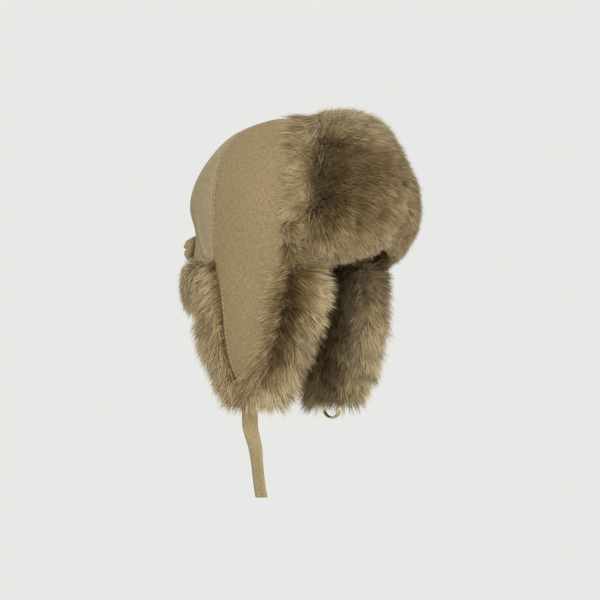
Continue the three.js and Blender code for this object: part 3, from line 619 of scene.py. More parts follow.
def ring_tab():
    half = RING_APART / 2 + RING_WIRE + TAB_CLEARANCE + TAB_THICKNESS / 2
    inner = RING_RADIUS - 2 * RING_WIRE
    bend = RING_PLACE[2] + np.sqrt(inner ** 2 - (TAB_WIDTH / 2) ** 2) - TAB_CLEARANCE
    leg = np.linspace(TAB_TOP, bend + 1.2, 12)
    turn = rad(np.linspace(0, 180, 15)[1:-1])
    x = np.concatenate([np.full(12, -half), -half * np.cos(turn), np.full(12, half)])
    z = np.concatenate([leg, bend + 1.2 - 1.8 * np.sin(turn), leg[::-1]])
    centre = np.stack([RING_PLACE[0] + x, np.full_like(x, RING_PLACE[1]), z], -1)
    along = unit(np.gradient(centre, axis=0))
    across = np.tile([0.0, 1.0, 0.0], (len(x), 1))
    tab = band(centre, np.full(len(x), TAB_WIDTH), across, np.cross(along, across), TAB_THICKNESS)
    take(add_mesh("ring_tab_linen", *tab), "ring_tab", slot="linen", material=linen)


def strap_ring(name, node, shift):
    around = rad(np.linspace(0, 360, 97)[:-1])[:, None]
    section = rad(np.linspace(0, 360, 17)[:-1])[None, :]
    radius = RING_RADIUS - RING_WIRE + RING_WIRE * np.cos(section)
    x = RING_PLACE[0] + shift + RING_WIRE * np.sin(section) * np.ones_like(around)
    grid = np.stack([x, RING_PLACE[1] + radius * np.cos(around), RING_PLACE[2] + radius * np.sin(around)], -1)
    grid = np.concatenate([grid, grid[:1]])
    take(grid_mesh(name, grid, True), node, slot="ring_metal", material=metal)


chin_strap()
tie_loop(RIGHT, "right_tie_loop_linen")
tie_loop(LEFT, "left_tie_loop_linen")
tie_knot()
ring_tab()
strap_ring("strap_ring_inner", "strap_ring_1", -RING_APART / 2)
strap_ring("strap_ring_outer", "strap_ring_2", RING_APART / 2)


# Fur
UNDER_OUTLINE = np.array([
    (0, 52), (15, 47), (41, 39), (66, 37.5), (88, 40), (103, 46), (111, 51), (118, 53), (129, 52), (142, 50),
    (155, 43), (167, 35.5), (180, 32),
], float)
UNDER_LINE = curve_through(UNDER_OUTLINE, 120)
FOREHEAD_LINE = curve_through(FOREHEAD_OUTLINE, 120)
NAPE_MIDDLE, NAPE_END = -21.0, 124


def folded_turn(turn):
    """Takes any turn round the forehead's middle to 0 to 180."""
    turn = np.mod(turn, 360)
    return np.where(turn > 180, 360 - turn, turn)


def turned_to(side, turn):
    """Takes a turn of 0 to 180 to its side of the forehead, or back."""
    return 360.0 - turn if side == RIGHT else turn


def forehead_point(turn, reach, offset):
    """A place by the angle round the forehead's middle, turn, and the angle away from it, reach."""
    turn, reach, offset = np.broadcast_arrays(turn, reach, offset)
    tilt = rad(FOREHEAD_TILT)
    side, up = sine(turn), cosine(turn)
    near, far = cosine(reach), sine(reach)
    direction = np.stack([side * far, -near * np.cos(tilt) + up * far * np.sin(tilt),
                          near * np.sin(tilt) + up * far * np.cos(tilt)], -1)
    return on_crown(direction * DOME + HUB, offset)


def chart_of(points):
    """A point's turn and reach in the forehead chart."""
    q = unit(crown_parts(points)[0] - HUB)
    tilt = rad(FOREHEAD_TILT)
    near = -q[..., 1] * np.cos(tilt) + q[..., 2] * np.sin(tilt)
    up = q[..., 1] * np.sin(tilt) + q[..., 2] * np.cos(tilt)
    return np.degrees(np.arctan2(np.abs(q[..., 0]), up)), np.degrees(np.arccos(np.clip(near, -1, 1)))


def under_limit(turn):
    """How far the forehead undercoat reaches; the hair lies back over the cloth beyond it."""
    return look_up(UNDER_LINE, folded_turn(turn))


def fur_depth(turn, reach):
    """How deep the whole forehead fur is at a place in its chart."""
    share = reach / look_up(FOREHEAD_LINE, folded_turn(turn))
    left = np.maximum(0, 1 - np.minimum(share, 1) ** 2.3) ** 0.75
    return FOREHEAD_EDGE + (FOREHEAD_DEPTH - FOREHEAD_EDGE) * left


def forehead_skin(turn, share):
    """The undercoat's surface, about half as deep as the fur."""
    reach = share * under_limit(turn)
    rounded = np.maximum(0, 1 - share ** 5) ** 0.6
    return forehead_point(turn, reach, 0.6 + 0.52 * fur_depth(turn, reach) * rounded)


def flap_row(z, column):
    return np.interp(-z, -FLAP_FUR[:, 0], FLAP_FUR[:, column])


def parting_at(z):
    return np.interp(-z, -PARTING[:, 1], PARTING[:, 0])


def rear_edge_at(z):
    return np.interp(z, REAR_EDGE[:, 1], REAR_EDGE[:, 0])


def flap_skin(side, angle, z):
    """The undercoat of an ear flap: a flat tube whose outer face sinks behind the cloth."""
    c, s = cosine(angle), sine(angle)
    inset = 7 + 2 * smoothstep(-z, 100, 140)
    front = flap_row(z, FRONT) + inset
    rear = flap_row(z, REAR) - inset * 0.8
    theta = (front + rear) / 2 - (rear - front) / 2 * np.sign(c) * np.abs(c) ** 0.85
    under_cloth = smoothstep(theta, parting_at(z) - 2, parting_at(z) + 2)
    under_cloth = under_cloth * fade(theta, rear_edge_at(z) - 1, rear_edge_at(z) + 3)
    under_cloth = under_cloth * fade(-z, 118, 126)
    under_cloth = np.maximum(under_cloth, smoothstep(z, -4, -1))
    proud = flap_row(z, PROUD) * 0.42
    outer = proud * np.abs(s) ** 0.6 * (1 - under_cloth) - (CLOTH + 2.0) * under_cloth
    inner = -np.maximum(flap_row(z, DEEP), 11) * 0.55 * np.abs(s) ** 0.6
    depth = np.where(s > 0, np.minimum(outer, proud), np.minimum(inner, -(CLOTH + 2.2) * (z > -4)))
    return beside(side, theta, z, depth), theta


def nape_skin(turned, angle):
    """turned runs from -1 at the right end of the nape to 1 at the left one."""
    theta = 180 - np.abs(turned) * (180 - NAPE_END)
    c, s = cosine(angle), sine(angle)
    z = NAPE_MIDDLE + 17 * np.sign(s) * np.abs(s) ** 0.8
    depth = np.where(c > 0, 3.0 * np.abs(c) ** 0.7, -7 * np.abs(c) ** 0.7)
    return beside(np.where(turned < 0, RIGHT, LEFT), theta, z, depth), theta


def undercoat_mesh(name, grid, node, painted_light=None):
    """A tube of rings closed at both ends by gathering them to their middles; the last argument lightens its
    points with painted light.
    """
    ends = [np.broadcast_to(grid[k].mean(0), grid[0].shape)[None] for k in (0, -1)]
    closed = np.concatenate([ends[0], grid, ends[1]])
    attributes = None if painted_light is None else {"painted_light": painted_light(closed.reshape(-1, 3))}
    middle = HUB if node == "front_flap_fur" else grid.reshape(-1, 3).mean(0)
    coat = grid_mesh(name, closed, True, outward=middle, attributes=attributes)
    take(coat, node, slot="fur", material=undercoat)


turns = np.linspace(0, 360, 101)[:-1]
face = np.stack([forehead_skin(turns, s) for s in np.linspace(0.02, 1, 24)])
behind = np.stack([forehead_point(turns, s * under_limit(turns), 0.4) for s in (0.98, 0.6, 0.1)])
# Painted light: the forehead undercoat is lightened towards its top
undercoat_mesh("forehead_undercoat", np.concatenate([face, behind]), "front_flap_fur",
               lambda points: 0.7 * smoothstep(points[:, 2], 92, 124))

angles = np.linspace(0, 360, 73)[:-1]
levels = np.concatenate([[5.0, 2.0, -1.0], np.linspace(-4, -138, 50)])
for side, label in SIDES:
    grid = np.stack([flap_skin(side, angles, np.full_like(angles, z))[0] for z in levels])
    # Painted light: each flap's undercoat is lightened towards its front edge
    undercoat_mesh(f"{label}_flap_undercoat", grid, f"{label}_flap_fur",
                   lambda points: 1 - smoothstep(crown_parts(points)[2], 52, 86))

angles = np.linspace(0, 360, 25)[:-1]
rings = [nape_skin(np.full(24, turned), angles)[0] for turned in np.linspace(-1, 1, 61)]
undercoat_mesh("nape_undercoat", np.stack(rings), "nape_fur")

HAIR_WIDTH = 0.46 if DENSITY == 1 else 0.72
HAIR_SEGMENTS = 3
DROOP = 0.15
HAIRS = {"forehead": 27000, "laid": 8000, "temple": 4600, "flap": 26500, "parting": 4800, "lining": 3000,
         "tip": 900, "rear": 5000, "nape": 13500}


def number(key):
    return int(HAIRS[key] * DENSITY)


def scattered(surface, a_range, b_range, count, inside, keep=None, da=0.5, db=0.5):
    """Roots spread evenly over a surface, with normals that point away from what inside() gives."""
    tries = count * 4
    a = rng.uniform(*a_range, tries)
    b = rng.uniform(*b_range, tries)
    if keep is not None:
        good = keep(a, b)
        a, b = a[good], b[good]
    normal = np.cross(surface(a + da, b) - surface(a - da, b), surface(a, b + db) - surface(a, b - db))
    area = np.linalg.norm(normal, axis=-1)
    chosen = rng.choice(len(a), min(count, len(a)), replace=False, p=area / area.sum())
    a, b, normal = a[chosen], b[chosen], unit(normal[chosen])
    root = surface(a, b)
    flip = (((root - inside(a, b)) * normal).sum(-1) < 0)[:, None]
    return a, b, root, np.where(flip, -normal, normal)


def over_cloth(points):
    """The cloth's normals and how far points stand over it."""
    base, normal, _ = crown_parts(points)
    return normal, ((points - base) * normal).sum(-1)


def clear_of_cloth(points, least):
    """Hair that would run into the crown or the flap is laid on the cloth instead."""
    normal, above = over_cloth(points)
    return points + normal * np.maximum(0, least - above)[..., None]


def under_a_ceiling(points, ceiling):
    """Hair that stands above a height over the cloth is pressed back most of the way to it."""
    normal, above = over_cloth(points)
    return points - normal * (np.maximum(0, above - ceiling) * 0.8)[..., None]


def nearest_leaders(root, spacing, area_each):
    """For each root, the nearest of a few chosen ones, about a spacing apart."""
    leaders = rng.choice(len(root), max(8, int(len(root) * area_each / spacing ** 2)), replace=False)
    tree = kdtree.KDTree(len(leaders))
    for i, leader in enumerate(leaders):
        tree.insert(root[leader], i)
    tree.balance()
    return leaders[np.array([tree.find(p)[1] for p in root])]


def strands(root, normal, comb, length, lift, rough, t):
    """The middle line of each hair before it is clumped, one point for each share t of its length."""
    count = len(root)
    jitter = rng.normal(0, 1, (count, 3)) * rough[:, None]
    start = unit(normal * lift[:, None] + comb * (1 - lift[:, None]) * 0.6 + jitter * 0.6)
    finish = unit(normal * lift[:, None] * 0.6 + comb + jitter + DROOP * DOWN)
    length = length * rng.uniform(0.7, 1.15, count)
    step = start[:, None] * (1 - t)[None, :, None] + finish[:, None] * t[None, :, None]
    step = unit(step) * (length / HAIR_SEGMENTS)[:, None, None]
    return root[:, None] + np.concatenate([np.zeros((count, 1, 3)), np.cumsum(step[:, :-1], 1)], 1), length


def hairs(name, node, root, normal, comb, length, lift, tone=1.0, low=0.0, high=1.0, clump=0.5, spacing=2.4,
          area_each=0.45, curl=0.06, rough=0.16, mottle=1.0, laid=None, shape=None):
    """Tapered ribbons from roots. comb is the way that they are brushed, lift how far they stand up,
    low and high the part of the hair's colours that runs from root to tip, mottle how much clumps differ."""
    count = len(root)
    lift, tone, low, high, rough = (
        np.broadcast_to(np.asarray(v, float), count) for v in (lift, tone, low, high, rough))
    t = np.linspace(0, 1, HAIR_SEGMENTS + 1)
    points, length = strands(root, normal, comb, length, lift, rough, t)
    fine, coarse = nearest_leaders(root, spacing, area_each), nearest_leaders(root, spacing * 2.6, area_each)
    pull = (rng.uniform(0.3, 1.0, count) * clump)[:, None, None] * (t ** 1.4)[None, :, None]
    swing = rng.normal(0, 1, (count, 3))
    wave = (swing[fine] * 0.7 + swing[coarse])[:, None] * (t ** 2)[None, :, None]
    points = points + pull * (points[fine] - points) + wave * (length * curl)[:, None, None]
    if shape is not None:
        points[:, 1:] = shape(points[:, 1:], rng.exponential(1.7, count)[:, None] * t[None, 1:])
    if laid is not None:
        points[:, 1:] = clear_of_cloth(points[:, 1:], laid[:, None] * (0.5 + 0.5 * t[None, 1:]))
    tangent = unit(np.gradient(points, axis=1))
    twist = rng.normal(0, 0.5, count)[:, None, None]
    across = unit(np.cross(tangent, normal[:, None]))
    across = unit(across * np.cos(twist) + np.cross(tangent, across) * np.sin(twist))
    taper = np.interp(t, [0, 0.4, 0.8, 1], [0.8, 1, 0.6, 0.1])
    size = (HAIR_WIDTH * rng.uniform(0.65, 1.3, count) / 2)[:, None] * taper[None]
    left, right = points - across * size[..., None], points + across * size[..., None]
    pairs = np.stack([left[:, :-1], right[:, :-1]], 2).reshape(count, -1, 3)
    vertices = np.concatenate([pairs, points[:, -1:]], 1)
    each = vertices.shape[1]
    quads = np.array([(2 * k, 2 * k + 1, 2 * k + 3, 2 * k + 2) for k in range(HAIR_SEGMENTS - 1)])
    tip = np.array([(each - 3, each - 2, each - 1)])
    base = (np.arange(count) * each)[:, None, None]
    faces = [(quads[None] + base).reshape(-1, 4), (tip[None] + base).reshape(-1, 3)]
    along = np.concatenate([np.repeat(t[:-1], 2), [1.0]])[None]
    nudge = rng.normal(0, 0.075, count) + rng.normal(0, 0.07, count)[fine] * mottle
    along = low[:, None] + (high - low)[:, None] * along + nudge[:, None]
    own = rng.uniform(0.42, 1.3, count)
    shared = rng.uniform(-0.28, 0.18, count)
    tones = tone * own * (1 + mottle * shared[fine]) * (1 + mottle * shared[coarse])
    tones = np.repeat(np.clip(tones, 0, 1), each)
    piece = add_mesh(name, vertices.reshape(-1, 3), faces, attributes={"along": along, "tone": tones})
    take(piece, node, slot="fur", material=hair)


# Forehead: the hair leaves a dark line on each side and goes back over the crown, forwards and down
SOURCE = np.array([(6, 45), (30, 41), (55, 38.5), (75, 39), (92, 42.5), (106, 49)], float)
SOURCE_LINE = curve_through(SOURCE, 60)
DARK_TURN, DARK_REACH, DARK_WIDE, DARK_HIGH = 76.0, 24.5, 35, 48
# Where the dense lobe of fur ends at the rear, by turn
LOBE_REAR = np.array([
    (0, 57), (15, 51.5), (41, 43), (66, 41), (88, 44), (103, 50), (111, 56), (118, 60), (129, 61), (142, 61),
    (180, 61),
], float)
# The height that the hair ends at, by theta
LOWER_EDGE = np.array([(0, 16), (8, 14.5), (26, 5.5), (41, -4), (56, -9), (90, -12)], float)


def shape_of_forehead(points, over):
    """Hair keeps under the fur's surface, lies flat behind the dense lobe, and ends above the lower edge."""
    turn, reach = chart_of(points)
    beyond = reach - look_up(LOBE_REAR, turn)
    shoulder = bump(turn, 26, 18) * bump(reach, 32, 9)
    top = fade(turn, 35, 60)
    hollow = bump(turn, 68, 34) * bump(reach, 19, 13)
    depth = fur_depth(turn, reach * (1 - 0.12 * smoothstep(turn, 112, 140)))
    ceiling = 2.6 + (depth - 1.6) * fade(beyond, -5, 4.5) + 5 * shoulder - 7.5 * hollow
    ceiling = ceiling - 3.0 * bump(turn, 0, 30) * bump(reach, 45, 9)
    ceiling = ceiling - 1.3 * smoothstep(beyond, 0, 6) * fade(turn, 18, 34)
    loose = 1 + 0.7 * np.maximum(top, bump(points[..., 0], 24, 34)) - 0.75 * smoothstep(beyond, -2, 5)
    points = under_a_ceiling(points, ceiling + over * loose)
    short = np.maximum(0, look_up(LOWER_EDGE, crown_parts(points)[2]) - 1.2 * over - points[..., 2])
    return points + short[..., None] * np.array([0, 0, 0.6])


def away_from_source(side, root, normal):
    """How far and which way a root lies from the line that the hair leaves."""
    source = forehead_point(turned_to(side, SOURCE_LINE[:, 0]), SOURCE_LINE[:, 1], 12.0)[::3]
    nearest = np.linalg.norm(root[:, None] - source[None], axis=-1).argmin(1)
    away = root - source[nearest]
    return away - normal * (away * normal).sum(-1, keepdims=True)


def dark_patch(side, root):
    """How far a root lies in the dark patch in front of that line, from 0 to 1. The dark roots show there,
    and the hair is painted darker as well: painted shade.
    """
    offset = root - forehead_point(turned_to(side, DARK_TURN), DARK_REACH, 16.0)
    offset = offset - offset[:, 2:] * np.array([-0.16 * side, -0.26, 0.0])
    uneven = 1 + 0.16 * np.sin(root[:, 2] * 0.14 + 1) + 0.12 * np.sin(root[:, 1] * 0.19 + root[:, 2] * 0.09)
    across = np.hypot(offset[:, 0], offset[:, 1]) / (DARK_WIDE * uneven)
    return np.clip(1.25 * np.exp(-(across ** 2 + (offset[:, 2] / (DARK_HIGH * uneven)) ** 2)), 0, 1)


def rib_wave(root):
    """Faint upright ribs at the middle of the forehead."""
    ahead = np.degrees(np.arctan2(root[:, 0], -root[:, 1]))
    ribs = np.sin(ahead * 1.9 + 1.2 * np.sin(root[:, 2] * 0.1)) * bump(ahead, 0, 15)
    return ribs * smoothstep(root[:, 2], 40, 62) * fade(root[:, 2], 112, 126)


def forehead_hair(side, label):
    span = (180.0, 360.0) if side == RIGHT else (0.0, 180.0)
    inside = lambda a, b: forehead_point(a, b * under_limit(a) * 0.9, -4.0)
    count = number("forehead")
    turn, share, root, normal = scattered(forehead_skin, span, (0.03, 1.0), count, inside, db=0.01)
    folded = turned_to(side, turn)
    away = away_from_source(side, root, normal)
    spread = np.linalg.norm(away, axis=-1)
    rear = smoothstep(share * under_limit(turn) - look_up(SOURCE_LINE, folded), -1, 5)
    rear = rear * fade(folded, 108, 120)
    weight = np.maximum(smoothstep(spread, -10, 24), rear)
    forwards = np.array([0.0, -1.0, 0.0]) + normal * normal[:, 1:2]
    comb = unit(away) * weight[:, None] + 0.8 * forwards * (1 - weight)[:, None]
    comb[:, 2] -= 0.55 * smoothstep(folded, 85, 140) * (1 - 0.6 * smoothstep(folded, 150, 175))
    central = bump(root[:, 0], 24, 30)
    comb[:, 0] = comb[:, 0] * (1 - central) + 0.3 * central
    crest = smoothstep(root[:, 2], 108, 132)
    lower = smoothstep(folded, 110, 145)
    ribs = rib_wave(root)
    # Partly painted shade: where the hair stands up the dark roots show, and the hair is toned darker there
    # as well
    dark = dark_patch(side, root) * (1 - rear) * (1 - 0.8 * crest) * (1 - 0.85 * central)
    lift = 0.8 - 0.16 * weight - 0.2 * smoothstep(spread, 20, 50) - 0.16 * rear + 0.14 * central
    length = 19 + 5 * weight + 4 * rear - 5 * smoothstep(folded, 150, 170) + 5 * crest
    hairs(f"forehead_hair_{label}", "front_flap_fur", root, normal, comb, length, lift,
          0.94 + 0.06 * rear - 0.17 * dark, spacing=2.7, shape=shape_of_forehead,
          low=np.maximum(0.2 * rear, 0.36 * crest) + 0.06 * central + 0.08 * lower - 0.06 * ribs,
          high=0.96 - 0.4 * dark - 0.12 * ribs + 0.18 * crest,
          rough=0.17 + 0.12 * dark + 0.3 * (1 - weight),
          clump=0.5 - 0.25 * central - 0.15 * dark, mottle=1 - 0.6 * central - 0.3 * dark,
          laid=rng.uniform(0.8, 4.0, len(root)) * smoothstep(share, 0.5, 0.9) + 1)


def laid_hair(side, label):
    """Light hair that lies back over the cloth behind the dense fur."""
    count = number("laid")
    folded = 118 * rng.uniform(0, 1, count) ** 0.9
    turn = turned_to(side, folded)
    limit = under_limit(turn)
    reach = limit * rng.uniform(0.9, 1.16, count)
    beyond = smoothstep(reach / limit, 0.95, 1.1)
    root = forehead_point(turn, reach, 1.0 + 3 * rng.uniform(0, 1, count) + 4 * (1 - beyond))
    normal = unit(root - forehead_point(turn, reach, 0.0))
    comb = unit(away_from_source(side, root, normal)) + 0.1 * DOWN
    length = rng.uniform(18, 40, count) * (1 - 0.45 * smoothstep(folded, 95, 118))
    hairs(f"forehead_laid_hair_{label}", "front_flap_fur", root, normal, comb, length, 0.12,
          laid=rng.uniform(0.5, 2.6, count), low=0.08 + 0.26 * beyond, high=0.9,
          rough=0.14 + 0.12 * (1 - beyond), clump=0.35, area_each=0.8, curl=0.07, mottle=0.7,
          shape=shape_of_forehead)


def forwards_at(side, theta, z):
    return unit(beside(side, theta - 1, z) - beside(side, theta + 1, z))


def roots_at(side, theta, z, depth, further):
    """Roots off the cloth, and the way from them to the same places further off it."""
    root = beside(side, theta, z, depth)
    return root, unit(beside(side, theta, z, further) - root)


def temple_fur(side, label):
    """The ear flap's fur goes on up beside the cloth, under the forehead fur's lower edge."""
    theta, z = np.meshgrid(np.linspace(45, 66.5, 14), np.linspace(-5, 44, 20))
    edges = smoothstep(theta, 45, 49) * fade(theta, 62, 66.5) * fade(z, 34, 44)
    outer, inner = beside(side, theta, z, 0.5 + 4.5 * edges), beside(side, theta, z, 0.25)
    patch = shell_mesh(f"{label}_temple_undercoat", outer, inner, np.zeros(theta.shape + (2,)))
    take(patch, "front_flap_fur", slot="fur", material=undercoat)
    count = number("temple")
    theta = rng.uniform(46, 66.8, count)
    z = rng.uniform(-4, 41, count)
    turn, reach = chart_of(beside(side, theta, z))
    keep = reach > under_limit(turn) * 0.95
    theta, z = theta[keep], z[keep]
    root = beside(side, theta, z, 0.5 + 4.0 * fade(theta, 62, 66.5))
    normal = unit(root - beside(side, theta, z, -5.0))
    brushed = 1 - 1.5 * smoothstep(theta, 64, 67)
    comb = forwards_at(side, theta, z) * brushed[:, None]
    comb = comb + DOWN * (0.25 + 0.35 * smoothstep(-z, -36, 5))[:, None]
    hairs(f"{label}_temple_hair", "front_flap_fur", root, normal, unit(comb), 15.0, 0.3, 0.85, low=0.1,
          high=0.98, rough=0.2, spacing=2.7)


for side, label in SIDES:
    forehead_hair(side, label)
    laid_hair(side, label)
    temple_fur(side, label)

# Ear flaps: outer hair runs forwards from the parting, backwards behind the rear edge, and fans at the tip
FLAP_MOST = 15.0


def shape_of_flap(points, over):
    return under_a_ceiling(points, FLAP_MOST + over)


def downwards(way, dip):
    """The way turned down by an angle in radians."""
    return unit(way * np.cos(dip)[:, None] + DOWN * np.sin(dip)[:, None])


def along_edge(table, count, power):
    """Places by angle and height along an edge, crowded towards its start or its end by the power."""
    return curve_through(table, 200)[(rng.uniform(0, 1, count) ** power * 199).astype(int)].T


def flap_hair(side, label):
    skin = lambda a, b: flap_skin(side, a, b)[0]
    far = side == LEFT

    def on_show(a, b):
        theta = flap_skin(side, a, b)[1]
        behind_cloth = (theta > parting_at(b) - 0.5) & (theta < rear_edge_at(b) + 1) & (b > -124)
        return ~((sine(a) > 0) & (behind_cloth | (b > -3)))

    def inside(a, b):
        middle = (flap_row(b, FRONT) + flap_row(b, REAR)) / 2
        return beside(side, middle + (flap_skin(side, a, b)[1] - middle) * 0.85, b, -4.5)

    angle, z, root, normal = scattered(skin, (0.0, 360.0), (-137.0, 4.0), number("flap"), inside, on_show)
    theta = flap_skin(side, angle, z)[1]
    past_front = theta - flap_row(z, FRONT)
    outer = sine(angle) > 0
    facing = np.clip((np.where(outer, 88, 104) - theta) / np.where(outer, 6, 14), -1, 1)
    dip = rad(12 + 74 * smoothstep(-z, -20, 135) + 20 * (facing < 0) * fade(-z, 60, 130))
    fan = smoothstep(-z, 95, 138)
    sideways = np.cos(dip) * facing * (1 - fan) + np.clip((86 - theta) / 34, -0.7, 0.7) * fan
    comb = forwards_at(side, theta, z) * sideways[:, None]
    comb = unit(comb + DOWN * np.maximum(np.sin(dip), 0.15)[:, None])
    front = fade(past_front, 8, 26)
    # Painted light: the far flap's hair by its front edge is brightened, standing in for light that the near
    # flap's shade keeps off it
    far_edge_painted_light = far * fade(past_front, 2, 14)
    length = np.where(outer, 21.0, 18.0) + 4 * front + 5.0 * fan + 7.0 * fan * far * smoothstep(theta, 60, 85)
    length = length - 4.5 * fan * bump(theta, 88, 9) * far
    length = length - 14 * smoothstep(-z, 100, 128) * fade(theta, 70, 86) * far
    near_parting = bump(theta, parting_at(z) - 3.5, 9) * outer * (1 - 0.85 * fan)
    behind = outer * smoothstep(theta, 95, 105)
    # Painted shade and light: the lining hair is darker further back inside the flap, where shade falls, and
    # brighter by the front edge
    inner_front_painted_light = fade(theta, 50, 90)
    tone = np.where(outer, 1.0, 0.6 + 0.4 * inner_front_painted_light) - 0.28 * near_parting
    low = np.where(outer, 0.34 + 0.2 * front, 0.62 * inner_front_painted_light + 0.15 * fan) * (1 - near_parting)
    low = low + 0.14 * behind + 0.2 * fan * outer
    high = np.where(outer, 1.04 + 0.06 * front, 0.62 + 0.56 * inner_front_painted_light + 0.22 * fan)
    high = high - 0.6 * near_parting - 0.06 * behind + 0.2 * far_edge_painted_light
    hairs(f"{label}_flap_hair", f"{label}_flap_fur", root, normal, comb, length, np.where(outer, 0.34, 0.42),
          tone * (1 + 0.35 * far_edge_painted_light), low=np.minimum(low, 0.66) + 0.2 * far_edge_painted_light, high=high, spacing=2.7,
          clump=0.5 - 0.3 * behind, curl=0.06 - 0.035 * behind, mottle=1 - 0.6 * behind, shape=shape_of_flap)


def parting_hair(side, label):
    """Hair from the parting that lies back on the cloth."""
    count = number("parting")
    theta, z = along_edge(PARTING, count, 0.75)
    ahead_of = rng.uniform(-1, 8, count)
    theta = theta - ahead_of
    z = z + rng.uniform(-1, 1, count)
    low_down = smoothstep(-z, 70, 115)
    root, normal = roots_at(side, theta, z, 0.3 + 3.0 * smoothstep(ahead_of, 1, 8), 8.0)
    comb = downwards(-forwards_at(side, theta, z), rad(8 + 50 * smoothstep(-z, 10, 122)))
    length = rng.uniform(10, 22, count) + 9 * low_down + 0.8 * ahead_of
    hairs(f"{label}_flap_parting_hair", f"{label}_flap_fur", root, normal, comb, length,
          0.22 + 0.02 * ahead_of, laid=rng.uniform(0.5, 2.6, count), rough=0.2,
          low=0.32 - 0.05 * ahead_of * (1 - low_down),
          high=1.0 - 0.03 * ahead_of, clump=0.3, area_each=0.9, mottle=0.6, shape=shape_of_flap)


def lining_hair(side, label):
    """Light hair along the front edge of the lining, brushed forwards and down, partly painted light; the far
    flap's is brightened further.
    """
    count = number("lining")
    z = rng.uniform(-128, -4, count)
    theta = flap_row(z, FRONT) + 8 + 22 * rng.uniform(0, 1, count) ** 1.3
    root, outwards = roots_at(side, theta, z, -0.45 * np.maximum(flap_row(z, DEEP), 11), 6.0)
    comb = downwards(forwards_at(side, theta, z), rad(28 + 46 * smoothstep(-z, 0, 130)))
    near_front = fade(theta, flap_row(z, FRONT) + 10, flap_row(z, FRONT) + 30)
    # Painted light: the far (left) flap's lining hair is brightened beyond the near one's, and both are
    # brightened near the front edge, partly painted light
    far_flap_painted_light = 0.2 * (side == LEFT)
    hairs(f"{label}_flap_lining_hair", f"{label}_flap_fur", root, -outwards, comb, 15 + 4 * near_front, 0.45,
          0.92 + 0.15 * near_front, low=0.5 + (0.32 + far_flap_painted_light) * near_front,
          high=1.15 + (0.2 + far_flap_painted_light) * near_front, clump=0.4, area_each=0.9, spacing=2.6, rough=0.2,
          mottle=0.8)


def tip_hair(side, label):
    """Hair at the tip, over the point of the cloth."""
    count = number("tip")
    theta = rng.uniform(84, 101, count)
    z = rng.uniform(-129, -119, count)
    root, normal = roots_at(side, theta, z, 1.0, 6.0)
    comb = unit(-forwards_at(side, theta, z) * ((theta - 92) / 12)[:, None] + DOWN)
    hairs(f"{label}_flap_tip_hair", f"{label}_flap_fur", root, normal, comb, rng.uniform(11, 17, count), 0.3,
          low=0.4, high=1.04, clump=0.3, area_each=0.9, mottle=0.5)


def rear_hair(side, label):
    """Hair from behind the cloth's rear edge."""
    count = number("rear")
    theta, z = along_edge(REAR_EDGE, count, 1.25)
    theta = theta + rng.uniform(0, 3.0, count)
    z = z + rng.uniform(-1, 1, count)
    root, normal = roots_at(side, theta, z, -0.5, 5.0)
    comb = unit(-forwards_at(side, theta, z) * 0.6 + DOWN * 0.8)
    hairs(f"{label}_flap_rear_hair", f"{label}_flap_fur", root, normal, comb, rng.uniform(14, 22, count), 0.4,
          low=0.45, high=1.02, area_each=0.9, clump=0.2, curl=0.03, mottle=0.4)


for side, label in SIDES:
    for make in (flap_hair, parting_hair, lining_hair, tip_hair, rear_hair):
        make(side, label)

# Nape: the hair hangs down and stands out a little, at most this far by height
NAPE_MOST = np.array([(-60, 1.0), (-54, 2.5), (-40, 7.0), (-26, 10.0), (-13, 11.0), (4, 8.0)], float)


def nape_hair():
    surface = lambda a, b: nape_skin(a, b)[0]
    inside = lambda a, b: beside(np.where(a < 0, RIGHT, LEFT), nape_skin(a, b)[1], NAPE_MIDDLE, -2.0)
    shape = lambda points, over: under_a_ceiling(points, look_up(NAPE_MOST, points[..., 2]) + over)
    count = number("nape")
    _, angle, root, normal = scattered(surface, (-1.0, 1.0), (0.0, 360.0), count, inside, da=0.005, db=1.0)
    sideways = unit(np.stack([root[:, 0], root[:, 1] * 0.5, np.zeros(len(root))], -1))
    outside = cosine(angle) > -0.2
    top = smoothstep(sine(angle), 0.2, 0.9)
    length = np.where(outside, 21.0, 14.0) - 5 * top
    hairs("nape_hair", "nape_fur", root, normal, unit(DOWN + sideways * 0.3), length, 0.5 + 0.1 * top,
          np.where(outside, 1.0, 0.7), low=np.where(outside, 0.5, 0.1), high=1.1, clump=0.22,
          curl=0.03, mottle=0.4, shape=shape)


nape_hair()

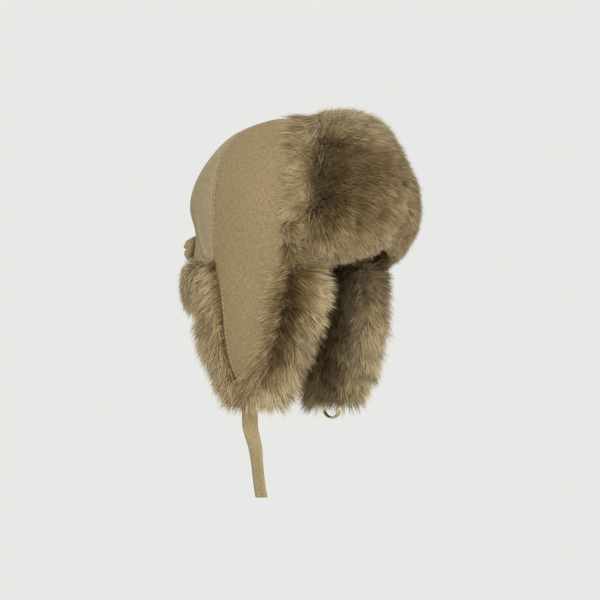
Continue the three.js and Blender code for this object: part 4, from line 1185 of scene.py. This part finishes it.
# Stage, light and camera
VIEW_AZIMUTH = -60.0
MM_PER_PIXEL = 1.03
FRAME_PIXELS = 600
CENTRE_ACROSS, CENTRE_UP = 12.4, -39.1
LENS, SENSOR = 600.0, 36.0
WORLD_COLOUR = (232, 233, 230)
FLOOR_LEVEL, FLOOR_RADIUS = -720.0, 2000.0
towards = np.array([sine(VIEW_AZIMUTH), -cosine(VIEW_AZIMUTH), 0.0])
rightwards = np.array([cosine(VIEW_AZIMUTH), sine(VIEW_AZIMUTH), 0.0])


def stand(name, data, place, way):
    """A camera or a light at a place in metres, facing a way."""
    piece = bpy.data.objects.new(name, data)
    piece.location = Vector(place)
    piece.rotation_mode = "QUATERNION"
    piece.rotation_quaternion = Vector(way).to_track_quat("-Z", "Y")
    bpy.context.scene.collection.objects.link(piece)
    return piece


def area_light(name, size, power, across, forward, up, colour=(1, 1, 1)):
    """A round light placed in metres as the camera sees it, facing the hat."""
    data = bpy.data.lights.new(name, "AREA")
    data.shape, data.size, data.energy, data.color = "DISK", size, power, colour
    place = Vector(rightwards * across + towards * forward + np.array([0, 0, up]))
    stand(name, data, place, Vector((0, 0, -0.03)) - place)


lens = bpy.data.cameras.new("camera")
lens.lens, lens.sensor_width, lens.clip_end = LENS, SENSOR, 60
distance = FRAME_PIXELS * MM_PER_PIXEL / (SENSOR / LENS)
target = rightwards * CENTRE_ACROSS + np.array([0, 0, CENTRE_UP])
bpy.context.scene.camera = stand("camera", lens, (target + towards * distance) * MM, -towards)

area_light("key", 1.4, 18.5, 0.0, 1.9, 0.9, (1, 0.985, 0.96))
area_light("front", 1.0, 9, 0.4, 2.1, -0.2)
area_light("fill", 1.6, 10, 1.6, 1.2, 0.1)
area_light("rim", 1.2, 8, -0.4, -1.7, 1.0)

world = bpy.data.worlds.new("studio")
world.use_nodes = True
world.node_tree.nodes["Background"].inputs["Color"].default_value = srgb(*WORLD_COLOUR)
world.node_tree.nodes["Background"].inputs["Strength"].default_value = 1.0
bpy.context.scene.world = world
bpy.context.scene.view_settings.view_transform = "Standard"

turn = rad(np.linspace(0, 360, 129)[:-1])
level = np.full_like(turn, FLOOR_LEVEL)
ring = lambda radius: np.stack([radius * np.cos(turn), radius * np.sin(turn), level], -1)
floor = grid_mesh("floor", np.stack([ring(radius) for radius in (1.0, 700.0, FLOOR_RADIUS)]), True)
floor.data.materials.append(paper_material("floor_paper"))
